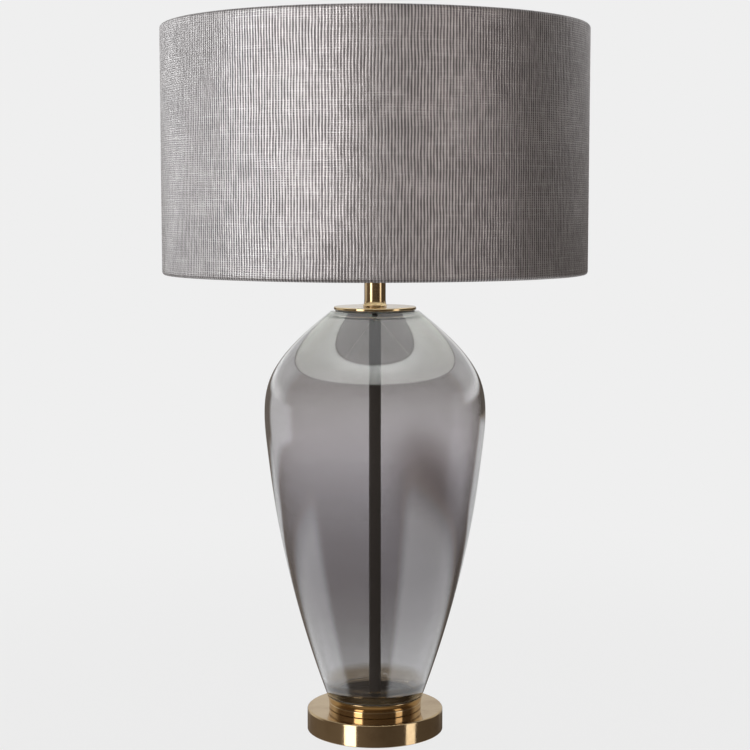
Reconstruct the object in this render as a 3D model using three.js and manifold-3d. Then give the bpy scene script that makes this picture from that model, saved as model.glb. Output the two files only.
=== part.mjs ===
// Table lamp: brass base, smoked glass body, harp-mounted drum shade.
// Millimetres, +Z up. Z = 0 is the table, the Z axis is the threaded rod, -Y is the front.

import * as THREE from 'three';
import { mergeVertices } from 'three/addons/utils/BufferGeometryUtils.js';
import Module from 'manifold-3d';

const wasm = await Module();
wasm.setup();

// ---------------------------------------------------------------- driving dimensions

const gap = 0.3; // between pieces that touch on the real lamp

// Base
const baseRadius = 65.5;
const baseHeight = 21.8;
const baseWall = 1.2;
const baseEdge = 1.4;
const baseLift = 0.8; // the spun edge stands this far above the table
const padThickness = 2;
const counterboreRadius = 14;
const counterboreDepth = 9.5;

// Cord inlet at the back of the base
const inletHeight = 11;
const inletBore = 3.4;
const inletWall = 1.1;
const inletFlange = 6.6;
const inletFlangeThickness = 1.8;
const inletReach = 4; // how far the bush runs inside the base wall
const inletBevel = 0.8;

// Threaded rod, its hardware and its black sleeve
const rodRadius = 4.85;
const rodBore = 3.4;
const rodTail = 4; // rod end above the table
const rodPoke = 1.4; // rod end above the socket cap's hub
const nutHeight = 4;
const nutWall = 2.3; // from the rod's hole to the flats
const washerWall = 6.5;
const washerThickness = 1.6;
const sleeveWall = 0.55;

// Collar, foot cup and seat dish under the glass
const collarRadius = 44.5;
const collarHeight = 5.9;
const collarWall = 1.5;
const collarEdge = 0.7;
const cupWaistRadius = 44.8;
const cupHeight = 6.6;
const cupFloor = 1.6;
const dishFloor = 1.5;
const dishWall = 1.6;
const dishRise = 0.9; // dish rim above the glass's underside
const dishClearance = 0.4;
const gasketThickness = 0.5;
const gasketInset = 1.2;

// Glass body: share of its height against outside radius
const glassHeight = 370.2;
const glassOutline = [
  [0, 46.8], [0.1, 59.5], [0.3, 80.7], [0.5, 95.6], [0.64, 102.5],
  [0.74, 105.3], [0.84, 97.5], [0.93, 71.4], [1, 41.4],
];
const glassWall = 3.5;
const glassFootWidth = 7.8;
const glassFootDepth = 3;
const glassMouthWidth = 8.4;
const glassMouthDepth = 3.4;

// Cap plate, neck tube and the plug that centres the rod in the glass
const plateRadius = 39;
const plateThickness = 2.9;
const plateEdge = 0.7;
const plugThickness = 3;
const plugClearance = 0.5;
const neckRadius = 10.15;
const neckHeight = 29.5;
const neckFlareRadius = 11.4;
const neckFlareHeight = 7;
const neckWall = 1.4;
const neckRim = 1;

// Harp, its saddle, ferrules and top stud
const saddleThickness = 2;
const saddleWidth = 13;
const earThickness = 1.5;
const earWidth = 5;
const earHeight = 12;
const harpWire = 1.6; // wire radius
const harpLeg = 30.3; // leg axis from the lamp axis
const harpBow = 56; // widest half width, to the wire's axis
const harpHeight = 205.8; // saddle top to the wire's axis at the crown
const harpStraight = 27;
const harpLift = 2.3; // leg end above the saddle
const legEase = 25; // how gently the wire leaves the leg, enters the bow and leaves it
const bowEaseBelow = 36;
const bowEaseAbove = 62;
const ferruleWall = 0.8;
const ferruleHeight = 12;
const ferruleClearance = 0.7;
const crownRadius = 7;
const crownThickness = 4.2;
const rivetRadius = 2;
const rivetHeadHeight = 1.7;
const studFlangeRadius = 8;
const studFlangeThickness = 1.5;
const studRadius = 3.1;
const studHeight = 15.8;
const studTip = 0.8;

// Lamp socket, sized round the bulb's thread
const bulbCapRadius = 13.05;
const threadPitch = 3.63;
const threadDepth = 0.7;
const threadClearance = 0.55;
const socketHeight = 48.2;
const socketWall = 0.6;
const capHubHeight = 6;
const capHubWall = 2.85;
const capWall = 0.8;
const capBowlHeight = 18.4;
const capOverlap = 4;
const setScrewRadius = 1.5;
const setScrewHead = 1.5;
const setScrewRim = 0.9; // head past the shank
const setScrewRise = 2.8; // screw axis above the socket cap's underside
const linerWall = 0.5;
const linerClearance = 0.85;
const bodyHeight = 17.5;
const bodyLift = 0.7; // body above the socket shell's lower edge
const linerShort = 2; // liner below the shell's upper edge
const bodyFlange = 4;
const screwShellWall = 0.45;
const screwShellHeight = 25.7;
const contactRise = 3.1;
const contactThickness = 0.5;
const terminalHead = 2.5;
const terminalHeadHeight = 1.8;
const terminalDepth = 4.5; // shank inside the body
const terminalRise = 7.5; // screw axis above the body's underside
const knobDepth = 5; // shaft inside the body
const knobRadius = 5.5;
const knobLength = 14;
const knobShaft = 1.7;
const knobEdge = 1.5;
const knobReach = 38; // knob's outer end from the lamp axis
const knobHeight = 23.4; // knob axis above the socket cap's underside

// Bulb
const bulbRadius = 30;
const bulbLength = 108;
const bulbCapHeight = 23.5;
const bulbCapWall = 0.4;
const bulbWall = 1;
const bulbEyelet = 4.4;
const eyeletHeight = 1.2;
const insulatorHeight = 2.2;
const insulatorInset = 2; // inside the cap's thread
const bulbSeat = 6; // glass neck inside its cap
const bulbCapFloor = 1.5;

// Shade
const shadeRadius = 200;
const shadeHeight = 229;
const shadeSkin = 0.9;
const liningSkin = 0.5;
const ringWire = 1.5; // wire radius
const hemCover = 0.6;
const spiderRecess = 14.4; // hub below the top ring
const spiderTurn = 5; // degrees
const armCount = 3;
const armWire = 1.6;
const armBend = 14; // the arm turns up this far inside its end
const armBendRun = 30;
const hubRadius = 12;
const hubThickness = 2;
const finialHeight = 27;
const finialBall = 8;
const finialNeck = 4.6;
const finialFoot = 1.6;
const finialTaper = 2;
const finialPocket = 1.5; // bore beyond the stud's tip

// Facets around a turned piece
const fine = 48;
const round = 36;
const medium = 20;
const small = 14;
const tiny = 12;

// ---------------------------------------------------------------- heights, from the table up

const rodHole = rodRadius + gap;
const shellInside = baseRadius - baseWall;
const weightBottom = padThickness + gap;
const weightTop = baseHeight - baseWall - gap;
const collarBottom = baseHeight + gap;
const cupBottom = collarBottom + collarHeight + gap;
const cupTop = cupBottom + cupHeight;
const glassBottom = cupTop + 2 * gap + gasketThickness;
const glassTop = glassBottom + glassHeight;
const glassFootRadius = glassOutline[0][1];
const glassMouthRadius = glassOutline.at(-1)[1];
const glassFootBore = glassFootRadius - glassFootWidth;
const glassMouthBore = glassMouthRadius - glassMouthWidth;
const plateBottom = glassTop + 2 * gap + gasketThickness;
const plateTop = plateBottom + plateThickness;
const neckBottom = plateTop + gap;
const saddleBottom = neckBottom + neckHeight + gap;
const saddleTop = saddleBottom + saddleThickness;
const socketBottom = saddleTop + gap;
const harpTop = saddleTop + harpHeight;
const crownTop = harpTop + crownThickness / 2;
const flangeBottom = crownTop + gap;
const hubBottom = flangeBottom + studFlangeThickness + gap;
const hubTop = hubBottom + hubThickness;
const ringTopHeight = hubBottom + hubThickness / 2 + spiderRecess;
const shadeTop = ringTopHeight + ringWire + gap + shadeSkin;
const shadeBottom = shadeTop - shadeHeight;

// ---------------------------------------------------------------- finishes

const finish = (color, metalness, roughness, opacity = 1) =>
  ({ color, metalness, roughness, opacity, transparent: opacity < 1 });

const brass = finish('#a98a5c', 1, 0.2);
const socketBrass = finish('#b9964f', 1, 0.35);
const steel = finish('#a9a9a6', 1, 0.4);
const castIron = finish('#3a3a3b', 0.6, 0.8);
const felt = finish('#2b2b2b', 0, 0.95);
const blackPaint = finish('#1b1b1c', 0.2, 0.35);
const blackPlastic = finish('#1d1c1b', 0, 0.4);
const smokedGlass = finish('#6d6c72', 0, 0.05, 0.45);
const clearRubber = finish('#d8d8d4', 0, 0.5, 0.5);
const cardboard = finish('#8d7a5f', 0, 0.9);
const opalGlass = finish('#f1efe9', 0, 0.35);
const greyWeave = finish('#9c9896', 0, 0.9);
const whiteLining = finish('#eeeee6', 0, 0.6);
const whiteEnamel = finish('#e4e4e0', 0.2, 0.45);

// ---------------------------------------------------------------- shape helpers

const lamp = new THREE.Group();

function addPiece(name, geometry, look) {
  const mesh = new THREE.Mesh(geometry, new THREE.MeshStandardMaterial(look));
  mesh.name = name;
  lamp.add(mesh);
  return mesh;
}

// A profile of [radius, height] points, run up the outside and down the inside.
// It closes on itself unless both ends lie on the axis.
function turned(profile, facets) {
  const points = profile.map(([radius, height]) => new THREE.Vector2(radius, height));
  const onAxis = profile[0][0] === 0 && profile.at(-1)[0] === 0;
  if (!onAxis) {
    points.push(points[0].clone());
  }
  return new THREE.LatheGeometry(points, facets).rotateX(Math.PI / 2);
}

function sleeve(inner, outer, bottom, top, facets) {
  return turned([[inner, bottom], [outer, bottom], [outer, top], [inner, top]], facets);
}

function disc(radius, bottom, top, facets) {
  return turned([[0, bottom], [radius, bottom], [radius, top], [0, top]], facets);
}

// Points of an arc in a profile, angles in degrees from the +radius direction
function arc(centreRadius, centreHeight, radius, from, to, steps) {
  return Array.from({ length: steps + 1 }, (_, step) => {
    const angle = THREE.MathUtils.degToRad(from + (to - from) * step / steps);
    return [centreRadius + radius * Math.cos(angle), centreHeight + radius * Math.sin(angle)];
  });
}

function wireAlong(path, radius, sides, steps) {
  const section = new THREE.Shape();
  for (let side = 0; side < sides; side += 1) {
    const angle = 2 * Math.PI * side / sides;
    const corner = [radius * Math.cos(angle), radius * Math.sin(angle)];
    if (side === 0) {
      section.moveTo(...corner);
    } else {
      section.lineTo(...corner);
    }
  }
  return new THREE.ExtrudeGeometry(section, { extrudePath: path, steps, bevelEnabled: false });
}

function block(low, high) {
  const size = high.map((value, axis) => value - low[axis]);
  const middle = high.map((value, axis) => (value + low[axis]) / 2);
  return new THREE.BoxGeometry(...size).translate(...middle);
}

// A closed geometry as a solid, with coincident corners merged
function solid(geometry) {
  const bare = new THREE.BufferGeometry();
  bare.setAttribute('position', geometry.getAttribute('position').clone());
  if (geometry.index) {
    bare.setIndex(geometry.index.clone());
  }
  const welded = mergeVertices(bare, 1e-4);
  const corners = [];
  for (let first = 0; first < welded.index.count; first += 3) {
    const [a, b, c] = [0, 1, 2].map((step) => welded.index.getX(first + step));
    if (a !== b && b !== c && c !== a) {
      corners.push(a, b, c);
    }
  }
  return new wasm.Manifold(new wasm.Mesh({
    numProp: 3,
    vertProperties: new Float32Array(welded.getAttribute('position').array),
    triVerts: new Uint32Array(corners),
  }));
}

function geometryOf(body) {
  const mesh = body.getMesh();
  const geometry = new THREE.BufferGeometry();
  geometry.setAttribute('position', new THREE.BufferAttribute(new Float32Array(mesh.vertProperties), 3));
  geometry.setIndex(new THREE.BufferAttribute(new Uint32Array(mesh.triVerts), 1));
  return geometry;
}

function cut(geometry, ...tools) {
  return geometryOf(tools.reduce((body, tool) => body.subtract(solid(tool)), solid(geometry)));
}

function join(geometry, ...others) {
  return geometryOf(others.reduce((body, other) => body.add(solid(other)), solid(geometry)));
}

// ---------------------------------------------------------------- base

addPiece('base_pad', disc(shellInside - dishClearance, 0, padThickness, round), felt);

// A round cutter through the base wall at the cord inlet
const inletHole = disc(inletBore + inletWall + gap, shellInside - inletReach, baseRadius + inletReach, small)
  .rotateX(-Math.PI / 2)
  .translate(0, 0, inletHeight);
addPiece('base_shell', cut(turned([
  [shellInside, baseLift],
  [baseRadius, baseLift],
  ...arc(baseRadius - baseEdge, baseHeight - baseEdge, baseEdge, 0, 90, 3),
  [rodHole, baseHeight],
  [rodHole, baseHeight - baseWall],
  [shellInside, baseHeight - baseWall],
], round), inletHole), brass);

const channelHalf = inletBore + inletWall + 2 * gap;
addPiece('base_weight', cut(
  sleeve(rodHole, shellInside - dishClearance, weightBottom, weightTop, round),
  disc(counterboreRadius, 0, weightBottom + counterboreDepth, medium),
  block([-channelHalf, 0, 0], [channelHalf, baseRadius, inletHeight + channelHalf]),
), castIron);

const bushOuter = inletBore + inletWall;
const bushFlangeEnd = baseRadius + gap + inletFlangeThickness;
addPiece('cord_bush', turned([
  [inletBore, shellInside - inletReach],
  [bushOuter, shellInside - inletReach],
  [bushOuter, baseRadius + gap],
  [inletFlange, baseRadius + gap],
  [inletFlange, bushFlangeEnd - inletBevel],
  [inletFlange - inletBevel, bushFlangeEnd],
  [inletBore + inletBevel, bushFlangeEnd],
  [inletBore, bushFlangeEnd - inletBevel],
], small).rotateX(-Math.PI / 2).translate(0, 0, inletHeight), blackPlastic);

// ---------------------------------------------------------------- rod and its hardware

const washerTop = weightBottom + counterboreDepth - gap;
const nutTop = washerTop - washerThickness - gap;
addPiece('rod_washer',
  sleeve(rodHole, rodHole + washerWall, washerTop - washerThickness, washerTop, medium), steel);

function nutGeometry() {
  const acrossCorners = (rodHole + nutWall) / Math.cos(Math.PI / 6);
  const outline = new THREE.Shape();
  for (let corner = 0; corner < 6; corner += 1) {
    const angle = corner * Math.PI / 3;
    const point = [acrossCorners * Math.cos(angle), acrossCorners * Math.sin(angle)];
    if (corner === 0) {
      outline.moveTo(...point);
    } else {
      outline.lineTo(...point);
    }
  }
  outline.closePath();
  outline.holes.push(new THREE.Path().absarc(0, 0, rodHole, 0, 2 * Math.PI, true));
  const prism = { depth: nutHeight, bevelEnabled: false, curveSegments: small / 2 };
  return new THREE.ExtrudeGeometry(outline, prism).translate(0, 0, nutTop - nutHeight);
}
addPiece('rod_nut', nutGeometry(), steel);

const rodTop = socketBottom + capHubHeight + rodPoke;
addPiece('threaded_rod', sleeve(rodBore, rodRadius, rodTail, rodTop, small), steel);

// ---------------------------------------------------------------- collar, foot cup, seat dish

const collarTop = collarBottom + collarHeight;
addPiece('collar_ring', turned([
  [collarRadius - collarWall, collarBottom],
  [collarRadius, collarBottom],
  ...arc(collarRadius - collarEdge, collarTop - collarEdge, collarEdge, 0, 90, 2),
  [rodHole, collarTop],
  [rodHole, collarTop - collarWall],
  [collarRadius - collarWall, collarTop - collarWall],
], round), brass);

const cupFlare = glassFootRadius - 0.2 - cupWaistRadius;
addPiece('foot_cup', turned([
  [rodHole, cupBottom],
  [cupWaistRadius, cupBottom],
  [cupWaistRadius + cupFlare * 0.2, cupBottom + cupHeight * 0.5],
  [cupWaistRadius + cupFlare * 0.6, cupBottom + cupHeight * 0.8],
  [cupWaistRadius + cupFlare, cupTop],
  [glassFootBore, cupTop],
  [glassFootBore, cupBottom + cupFloor],
  [rodHole, cupBottom + cupFloor],
], round), brass);

addPiece('foot_gasket', sleeve(glassFootBore + gasketInset, glassFootRadius - gasketInset,
  cupTop + gap, cupTop + gap + gasketThickness, round), clearRubber);

const dishRadius = glassFootBore - dishClearance;
const dishBottom = cupBottom + cupFloor + gap;
const dishFloorTop = dishBottom + dishFloor;
addPiece('seat_dish', turned([
  [rodHole, dishBottom],
  [dishRadius, dishBottom],
  [dishRadius, glassBottom + dishRise],
  [dishRadius - dishWall, glassBottom + dishRise],
  [dishRadius - dishWall, dishFloorTop],
  [rodHole, dishFloorTop],
], round), blackPaint);

// ---------------------------------------------------------------- glass body

// The outside is a smooth curve through the outline. The inside follows it one wall
// away, thickened to a ring at the foot and to a ground lip at the mouth.
function glassProfile() {
  const curve = new THREE.SplineCurve(
    glassOutline.map(([share, radius]) => new THREE.Vector2(radius, glassBottom + share * glassHeight)));
  const steps = 13;
  const outside = curve.getPoints(steps);
  const inside = outside.map((point, step) => {
    const along = curve.getTangent(step / steps);
    return [point.x - along.y * glassWall, point.y + along.x * glassWall];
  });
  const footTop = glassBottom + glassFootDepth + glassFootWidth;
  const lipBottom = glassTop - glassMouthDepth - glassWall;
  const wall = inside.filter(([, height]) => height > footTop && height < lipBottom);
  return [
    [glassFootBore, glassBottom],
    ...outside.map((point) => [point.x, point.y]),
    [glassMouthBore, glassTop],
    [glassMouthBore, glassTop - glassMouthDepth],
    ...wall.reverse(),
    [glassFootBore + glassFootWidth * 0.55, glassBottom + glassFootDepth + glassFootWidth * 0.45],
    [glassFootBore, glassBottom + glassFootDepth],
  ];
}
addPiece('glass_body', turned(glassProfile(), round), smokedGlass);

const plugTop = plateBottom - gap;
const plugBottom = plugTop - plugThickness;
addPiece('rod_sleeve',
  sleeve(rodHole, rodHole + sleeveWall, dishFloorTop + gap, plugBottom - gap, small), blackPaint);
addPiece('neck_plug',
  sleeve(rodHole, glassMouthBore - plugClearance, plugBottom, plugTop, medium), clearRubber);

// ---------------------------------------------------------------- cap plate and neck tube

addPiece('cap_gasket', sleeve(glassMouthBore + gap, plateRadius - gasketInset,
  glassTop + gap, glassTop + gap + gasketThickness, round), clearRubber);

addPiece('cap_plate', turned([
  [rodHole, plateBottom],
  [plateRadius - plateEdge, plateBottom],
  [plateRadius, plateBottom + plateEdge],
  ...arc(plateRadius - plateEdge, plateTop - plateEdge, plateEdge, 0, 90, 2),
  [rodHole, plateTop],
], round), brass);

const flareRun = neckFlareRadius - neckRadius;
const neckTop = neckBottom + neckHeight;
addPiece('neck_tube', turned([
  [neckFlareRadius - 2 * neckWall, neckBottom],
  [neckFlareRadius, neckBottom],
  [neckFlareRadius, neckBottom + neckRim],
  ...[0.25, 0.5, 0.75, 1].map((share) => [
    neckFlareRadius - flareRun * Math.sin(share * Math.PI / 2),
    neckBottom + neckRim + (neckFlareHeight - neckRim) * (1 - Math.cos(share * Math.PI / 2)),
  ]),
  [neckRadius, neckTop],
  [rodHole, neckTop],
  [rodHole, neckTop - 2 * neckWall],
  [neckRadius - neckWall, neckTop - 2 * neckWall],
  [neckRadius - neckWall, neckBottom + neckFlareHeight],
], medium), brass);

// ---------------------------------------------------------------- harp and its fittings

const earOuter = harpLeg - harpWire - gap;
const saddleHalf = earOuter;
const saddlePlate = block(
  [-saddleHalf, -saddleWidth / 2, saddleBottom], [saddleHalf, saddleWidth / 2, saddleTop]);
const ears = [-1, 1].map((side) => block(
  [side * earOuter - (side > 0 ? earThickness : 0), -earWidth / 2, saddleBottom],
  [side * earOuter + (side > 0 ? 0 : earThickness), earWidth / 2, saddleTop + earHeight],
));
addPiece('harp_saddle', cut(
  join(saddlePlate, ...ears), disc(rodHole, saddleBottom - 1, saddleTop + 1, small)), steel);

const legBottom = saddleTop + harpLift;

// The bent wire: up one leg, out to the bow, over the crown and down the other side
function harpPath() {
  const straightTop = saddleTop + harpStraight;
  const bowHeight = saddleTop + harpHeight * 0.51;
  const at = (side, across, height) => new THREE.Vector3(side * across, 0, height);
  const path = new THREE.CurvePath();
  path.add(new THREE.LineCurve3(at(1, harpLeg, legBottom), at(1, harpLeg, straightTop)));
  path.add(new THREE.CubicBezierCurve3(
    at(1, harpLeg, straightTop), at(1, harpLeg, straightTop + legEase),
    at(1, harpBow, bowHeight - bowEaseBelow), at(1, harpBow, bowHeight)));
  path.add(new THREE.CubicBezierCurve3(
    at(1, harpBow, bowHeight), at(1, harpBow, bowHeight + bowEaseAbove),
    at(1, harpBow * 0.6, harpTop), at(1, crownRadius, harpTop)));
  path.add(new THREE.LineCurve3(at(1, crownRadius, harpTop), at(-1, crownRadius, harpTop)));
  path.add(new THREE.CubicBezierCurve3(
    at(-1, crownRadius, harpTop), at(-1, harpBow * 0.6, harpTop),
    at(-1, harpBow, bowHeight + bowEaseAbove), at(-1, harpBow, bowHeight)));
  path.add(new THREE.CubicBezierCurve3(
    at(-1, harpBow, bowHeight), at(-1, harpBow, bowHeight - bowEaseBelow),
    at(-1, harpLeg, straightTop + legEase), at(-1, harpLeg, straightTop)));
  path.add(new THREE.LineCurve3(at(-1, harpLeg, straightTop), at(-1, harpLeg, legBottom)));
  return path;
}
const crown = disc(crownRadius, crownTop - crownThickness, crownTop, small);
addPiece('harp_wire', cut(
  join(wireAlong(harpPath(), harpWire, 6, 44), crown),
  disc(rivetRadius + gap, harpTop - crownThickness, harpTop + crownThickness, small)), steel);

// The ferrules hold each leg against its ear
const ferruleAxis = (harpLeg + harpWire + earOuter - earThickness) / 2;
const ferruleBore = (harpLeg + harpWire - earOuter + earThickness) / 2 + ferruleClearance * 2;
[['left', -1], ['right', 1]].forEach(([label, side]) => {
  const ferrule = sleeve(ferruleBore, ferruleBore + ferruleWall,
    saddleTop + gap, saddleTop + gap + ferruleHeight, small);
  addPiece(`harp_ferrule_${label}`, ferrule.translate(side * ferruleAxis, 0, 0), socketBrass);
});

const rivetHead = rivetRadius * 1.8;
const rivetTop = crownTop - crownThickness - gap;
const studTop = flangeBottom + studFlangeThickness + studHeight;
addPiece('harp_stud', turned([
  [0, rivetTop - rivetHeadHeight],
  [rivetHead, rivetTop - rivetHeadHeight],
  [rivetHead, rivetTop],
  [rivetRadius, rivetTop],
  [rivetRadius, flangeBottom],
  [studFlangeRadius, flangeBottom],
  [studFlangeRadius, flangeBottom + studFlangeThickness],
  [studRadius, flangeBottom + studFlangeThickness],
  [studRadius, studTop - studTip],
  [studRadius - studTip, studTop],
  [0, studTop],
], small), socketBrass);

// ---------------------------------------------------------------- lamp socket

const screwShellRadius = bulbCapRadius + threadClearance;
const linerInner = screwShellRadius + threadDepth + screwShellWall + linerClearance;
const linerOuter = linerInner + linerWall;
const socketRadius = linerOuter + gap + socketWall;
const bodyRadius = linerInner - linerClearance - terminalHeadHeight - 2 * gap;
const hubOuter = rodHole + capHubWall;
const capInside = socketRadius + gap;
const capTop = socketBottom + capBowlHeight;
const shellBottom = capTop - capOverlap + gap;
const setScrewHeight = socketBottom + setScrewRise;

// Turns a piece made along +Z to lie along another level direction from the lamp axis
function lieAlong(geometry, degrees, height) {
  return geometry
    .rotateY(Math.PI / 2)
    .rotateZ(THREE.MathUtils.degToRad(degrees))
    .translate(0, 0, height);
}

addPiece('socket_cap', cut(turned([
  [rodHole, socketBottom],
  [hubOuter, socketBottom],
  [hubOuter, socketBottom + capHubHeight - 1],
  [capInside * 0.7, socketBottom + capHubHeight + 1.4],
  [capInside * 0.97, capTop - capOverlap - 2.4],
  [capInside + capWall, capTop - capOverlap],
  [capInside + capWall, capTop],
  [capInside, capTop],
  [capInside, capTop - capOverlap],
  [capInside * 0.93, capTop - capOverlap - 1.6],
  [capInside * 0.66, socketBottom + capHubHeight + 2.2],
  [rodHole + 1.6, socketBottom + capHubHeight],
  [rodHole, socketBottom + capHubHeight],
], medium), lieAlong(disc(setScrewRadius + gap, 0, hubOuter + 2, tiny), 90, setScrewHeight)), socketBrass);

addPiece('set_screw', lieAlong(turned([
  [0, rodHole],
  [setScrewRadius, rodHole],
  [setScrewRadius, hubOuter + gap],
  [setScrewRadius + setScrewRim, hubOuter + gap],
  [setScrewRadius + setScrewRim, hubOuter + gap + setScrewHead],
  [0, hubOuter + gap + setScrewHead],
], tiny), 90, setScrewHeight), steel);

const knobAxis = socketBottom + knobHeight;
const knobHole = lieAlong(disc(knobShaft + 2 * gap, bodyRadius, socketRadius + 2, tiny), -90, knobAxis);
const socketTop = shellBottom + socketHeight;
addPiece('socket_shell', cut(sleeve(
  socketRadius - socketWall, socketRadius, shellBottom, socketTop, medium), knobHole), socketBrass);

addPiece('socket_liner', cut(sleeve(
  linerInner, linerOuter, shellBottom + gap, socketTop - linerShort, medium), knobHole), cardboard);

const bodyBottom = shellBottom + bodyLift;
const bodyTop = bodyBottom + bodyHeight;
const terminalHeight = bodyBottom + terminalRise;
const terminalShank = terminalHead * 0.6;
const terminalBores = [0, 180].map((turn) => lieAlong(
  disc(terminalShank + gap, bodyRadius - terminalDepth - gap, bodyRadius + 2, tiny), turn, terminalHeight));
const knobBore = lieAlong(
  disc(knobShaft + gap, bodyRadius - knobDepth - gap, bodyRadius + 2, tiny), -90, knobAxis);
addPiece('socket_body', cut(turned([
  [0, bodyBottom],
  [bodyRadius, bodyBottom],
  [bodyRadius, bodyTop - bodyFlange],
  [linerInner - gap, bodyTop - bodyFlange],
  [linerInner - gap, bodyTop],
  [0, bodyTop],
], medium), ...terminalBores, knobBore), blackPlastic);

[['live', 0], ['neutral', 180]].forEach(([label, turn]) => {
  addPiece(`terminal_screw_${label}`, lieAlong(turned([
    [0, bodyRadius - terminalDepth],
    [terminalShank, bodyRadius - terminalDepth],
    [terminalShank, bodyRadius + gap],
    [terminalHead, bodyRadius + gap],
    [terminalHead, bodyRadius + gap + terminalHeadHeight],
    [0, bodyRadius + gap + terminalHeadHeight],
  ], tiny), turn, terminalHeight), socketBrass);
});

// Round ridges at the thread's pitch, crest to crest
function threadRidges(crest, root, bottom, turns) {
  const points = [];
  for (let turn = 0; turn < turns; turn += 1) {
    points.push([crest, bottom + (turn + 0.25) * threadPitch]);
    points.push([root, bottom + (turn + 0.75) * threadPitch]);
  }
  return points;
}

const screwBottom = bodyTop + gap;
const screwTop = screwBottom + screwShellHeight;
const screwThread = threadRidges(
  screwShellRadius + threadDepth, screwShellRadius, screwBottom + 2, 5);
addPiece('screw_shell', turned([
  [bulbEyelet * 2, screwBottom],
  [screwShellRadius + screwShellWall, screwBottom],
  ...screwThread.map(([radius, height]) => [radius + screwShellWall, height]),
  [screwShellRadius + screwShellWall, screwTop],
  [screwShellRadius, screwTop],
  ...[...screwThread].reverse(),
  [screwShellRadius, screwBottom + screwShellWall],
  [bulbEyelet * 2, screwBottom + screwShellWall],
], small), socketBrass);

function contactGeometry() {
  const half = bulbEyelet * 1.6;
  const thick = contactThickness;
  const outline = new THREE.Shape([
    [-half, 0], [-half * 0.6, 0], [-half * 0.25, contactRise - thick], [half * 0.25, contactRise - thick],
    [half * 0.6, 0], [half, 0], [half, thick], [half * 0.7, thick],
    [half * 0.3, contactRise], [-half * 0.3, contactRise], [-half * 0.7, thick], [-half, thick],
  ].map(([across, height]) => new THREE.Vector2(across, height)));
  const width = bulbEyelet;
  return new THREE.ExtrudeGeometry(outline, { depth: width, bevelEnabled: false })
    .translate(0, 0, -width / 2)
    .rotateX(Math.PI / 2)
    .translate(0, 0, screwBottom);
}
addPiece('centre_contact', contactGeometry(), socketBrass);

const knobStart = knobReach - knobLength;
addPiece('switch_knob', lieAlong(turned([
  [0, bodyRadius - knobDepth],
  [knobShaft, bodyRadius - knobDepth],
  [knobShaft, knobStart],
  [knobRadius - 2 * knobEdge, knobStart],
  [knobRadius, knobStart + 2 * knobEdge],
  [knobRadius, knobReach - knobEdge],
  [knobRadius - knobEdge, knobReach],
  [0, knobReach],
], small), -90, knobAxis), blackPlastic);

// ---------------------------------------------------------------- bulb

const eyeletBottom = screwBottom + contactRise + gap;
const eyeletTop = eyeletBottom + eyeletHeight;
const insulatorTop = eyeletTop + gap + insulatorHeight;
const bulbCapBottom = insulatorTop + gap;
const bulbCapTop = bulbCapBottom + bulbCapHeight;
const bulbTop = eyeletBottom + bulbLength;
const bulbNeck = bulbCapRadius - threadDepth - bulbCapWall - gap;
addPiece('bulb_eyelet', disc(bulbEyelet, eyeletBottom, eyeletTop, small), steel);
addPiece('bulb_insulator', turned([
  [0, eyeletTop + gap],
  [bulbEyelet, eyeletTop + gap],
  [bulbCapRadius - insulatorInset, insulatorTop],
  [0, insulatorTop],
], small), blackPlastic);

const capThread = threadRidges(bulbCapRadius, bulbCapRadius - threadDepth, bulbCapBottom + 1.6, 4);
addPiece('bulb_cap', turned([
  [0, bulbCapBottom],
  [bulbCapRadius - insulatorInset + bulbCapWall, bulbCapBottom],
  ...capThread,
  [bulbCapRadius, bulbCapTop - 1],
  [bulbCapRadius, bulbCapTop],
  [bulbNeck + gap, bulbCapTop],
  [bulbNeck + gap, bulbCapBottom + bulbCapFloor],
  [0, bulbCapBottom + bulbCapFloor],
], small), steel);

// The bulb's pear shape, outside skin then inside skin: a neck that swells into a ball
function bulbSkins() {
  const ballHeight = bulbTop - bulbRadius;
  const neckBottomHeight = bulbCapTop - bulbSeat;
  const neckTopHeight = bulbCapTop + 4;
  const swell = (offset) => {
    const ball = arc(0, ballHeight, bulbRadius - offset, -28, 90, 6);
    const neck = bulbNeck - offset;
    return [
      [neck, neckBottomHeight],
      [neck + 0.4, neckTopHeight],
      [neck + 4.2, neckTopHeight + 12],
      ...ball.slice(0, -1),
      [0, bulbTop - offset],
    ];
  };
  return [swell(0), swell(bulbWall)];
}

const [bulbOutside, bulbInside] = bulbSkins();
addPiece('bulb_glass', cut(
  turned([[0, bulbOutside[0][1]], ...bulbOutside], small),
  turned([[0, bulbInside[0][1] - bulbWall], ...bulbInside], small)), opalGlass);

// ---------------------------------------------------------------- shade

const ringRadius = shadeRadius - shadeSkin - gap - ringWire;
const ringBottomHeight = shadeBottom + shadeSkin + gap + ringWire;
const hemInner = ringRadius - ringWire - hemCover;
addPiece('shade_fabric', turned([
  [hemInner, shadeBottom],
  [shadeRadius, shadeBottom],
  [shadeRadius, shadeTop],
  [hemInner, shadeTop],
  [hemInner, shadeTop - shadeSkin],
  [shadeRadius - shadeSkin, shadeTop - shadeSkin],
  [shadeRadius - shadeSkin, shadeBottom + shadeSkin],
  [hemInner, shadeBottom + shadeSkin],
], fine), greyWeave);

const liningOuter = shadeRadius - shadeSkin - gap;
addPiece('shade_lining', sleeve(liningOuter - liningSkin, liningOuter,
  ringBottomHeight + ringWire + gap, ringTopHeight - ringWire - gap, fine), whiteLining);

[['shade_top_ring', ringTopHeight], ['shade_bottom_ring', ringBottomHeight]].forEach(([name, height]) => {
  const section = arc(ringRadius, height, ringWire, 0, 300, 5);
  addPiece(name, turned(section, fine), whiteEnamel);
});

addPiece('spider_hub', sleeve(studRadius + gap, hubRadius, hubBottom, hubTop, small), whiteEnamel);

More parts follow.
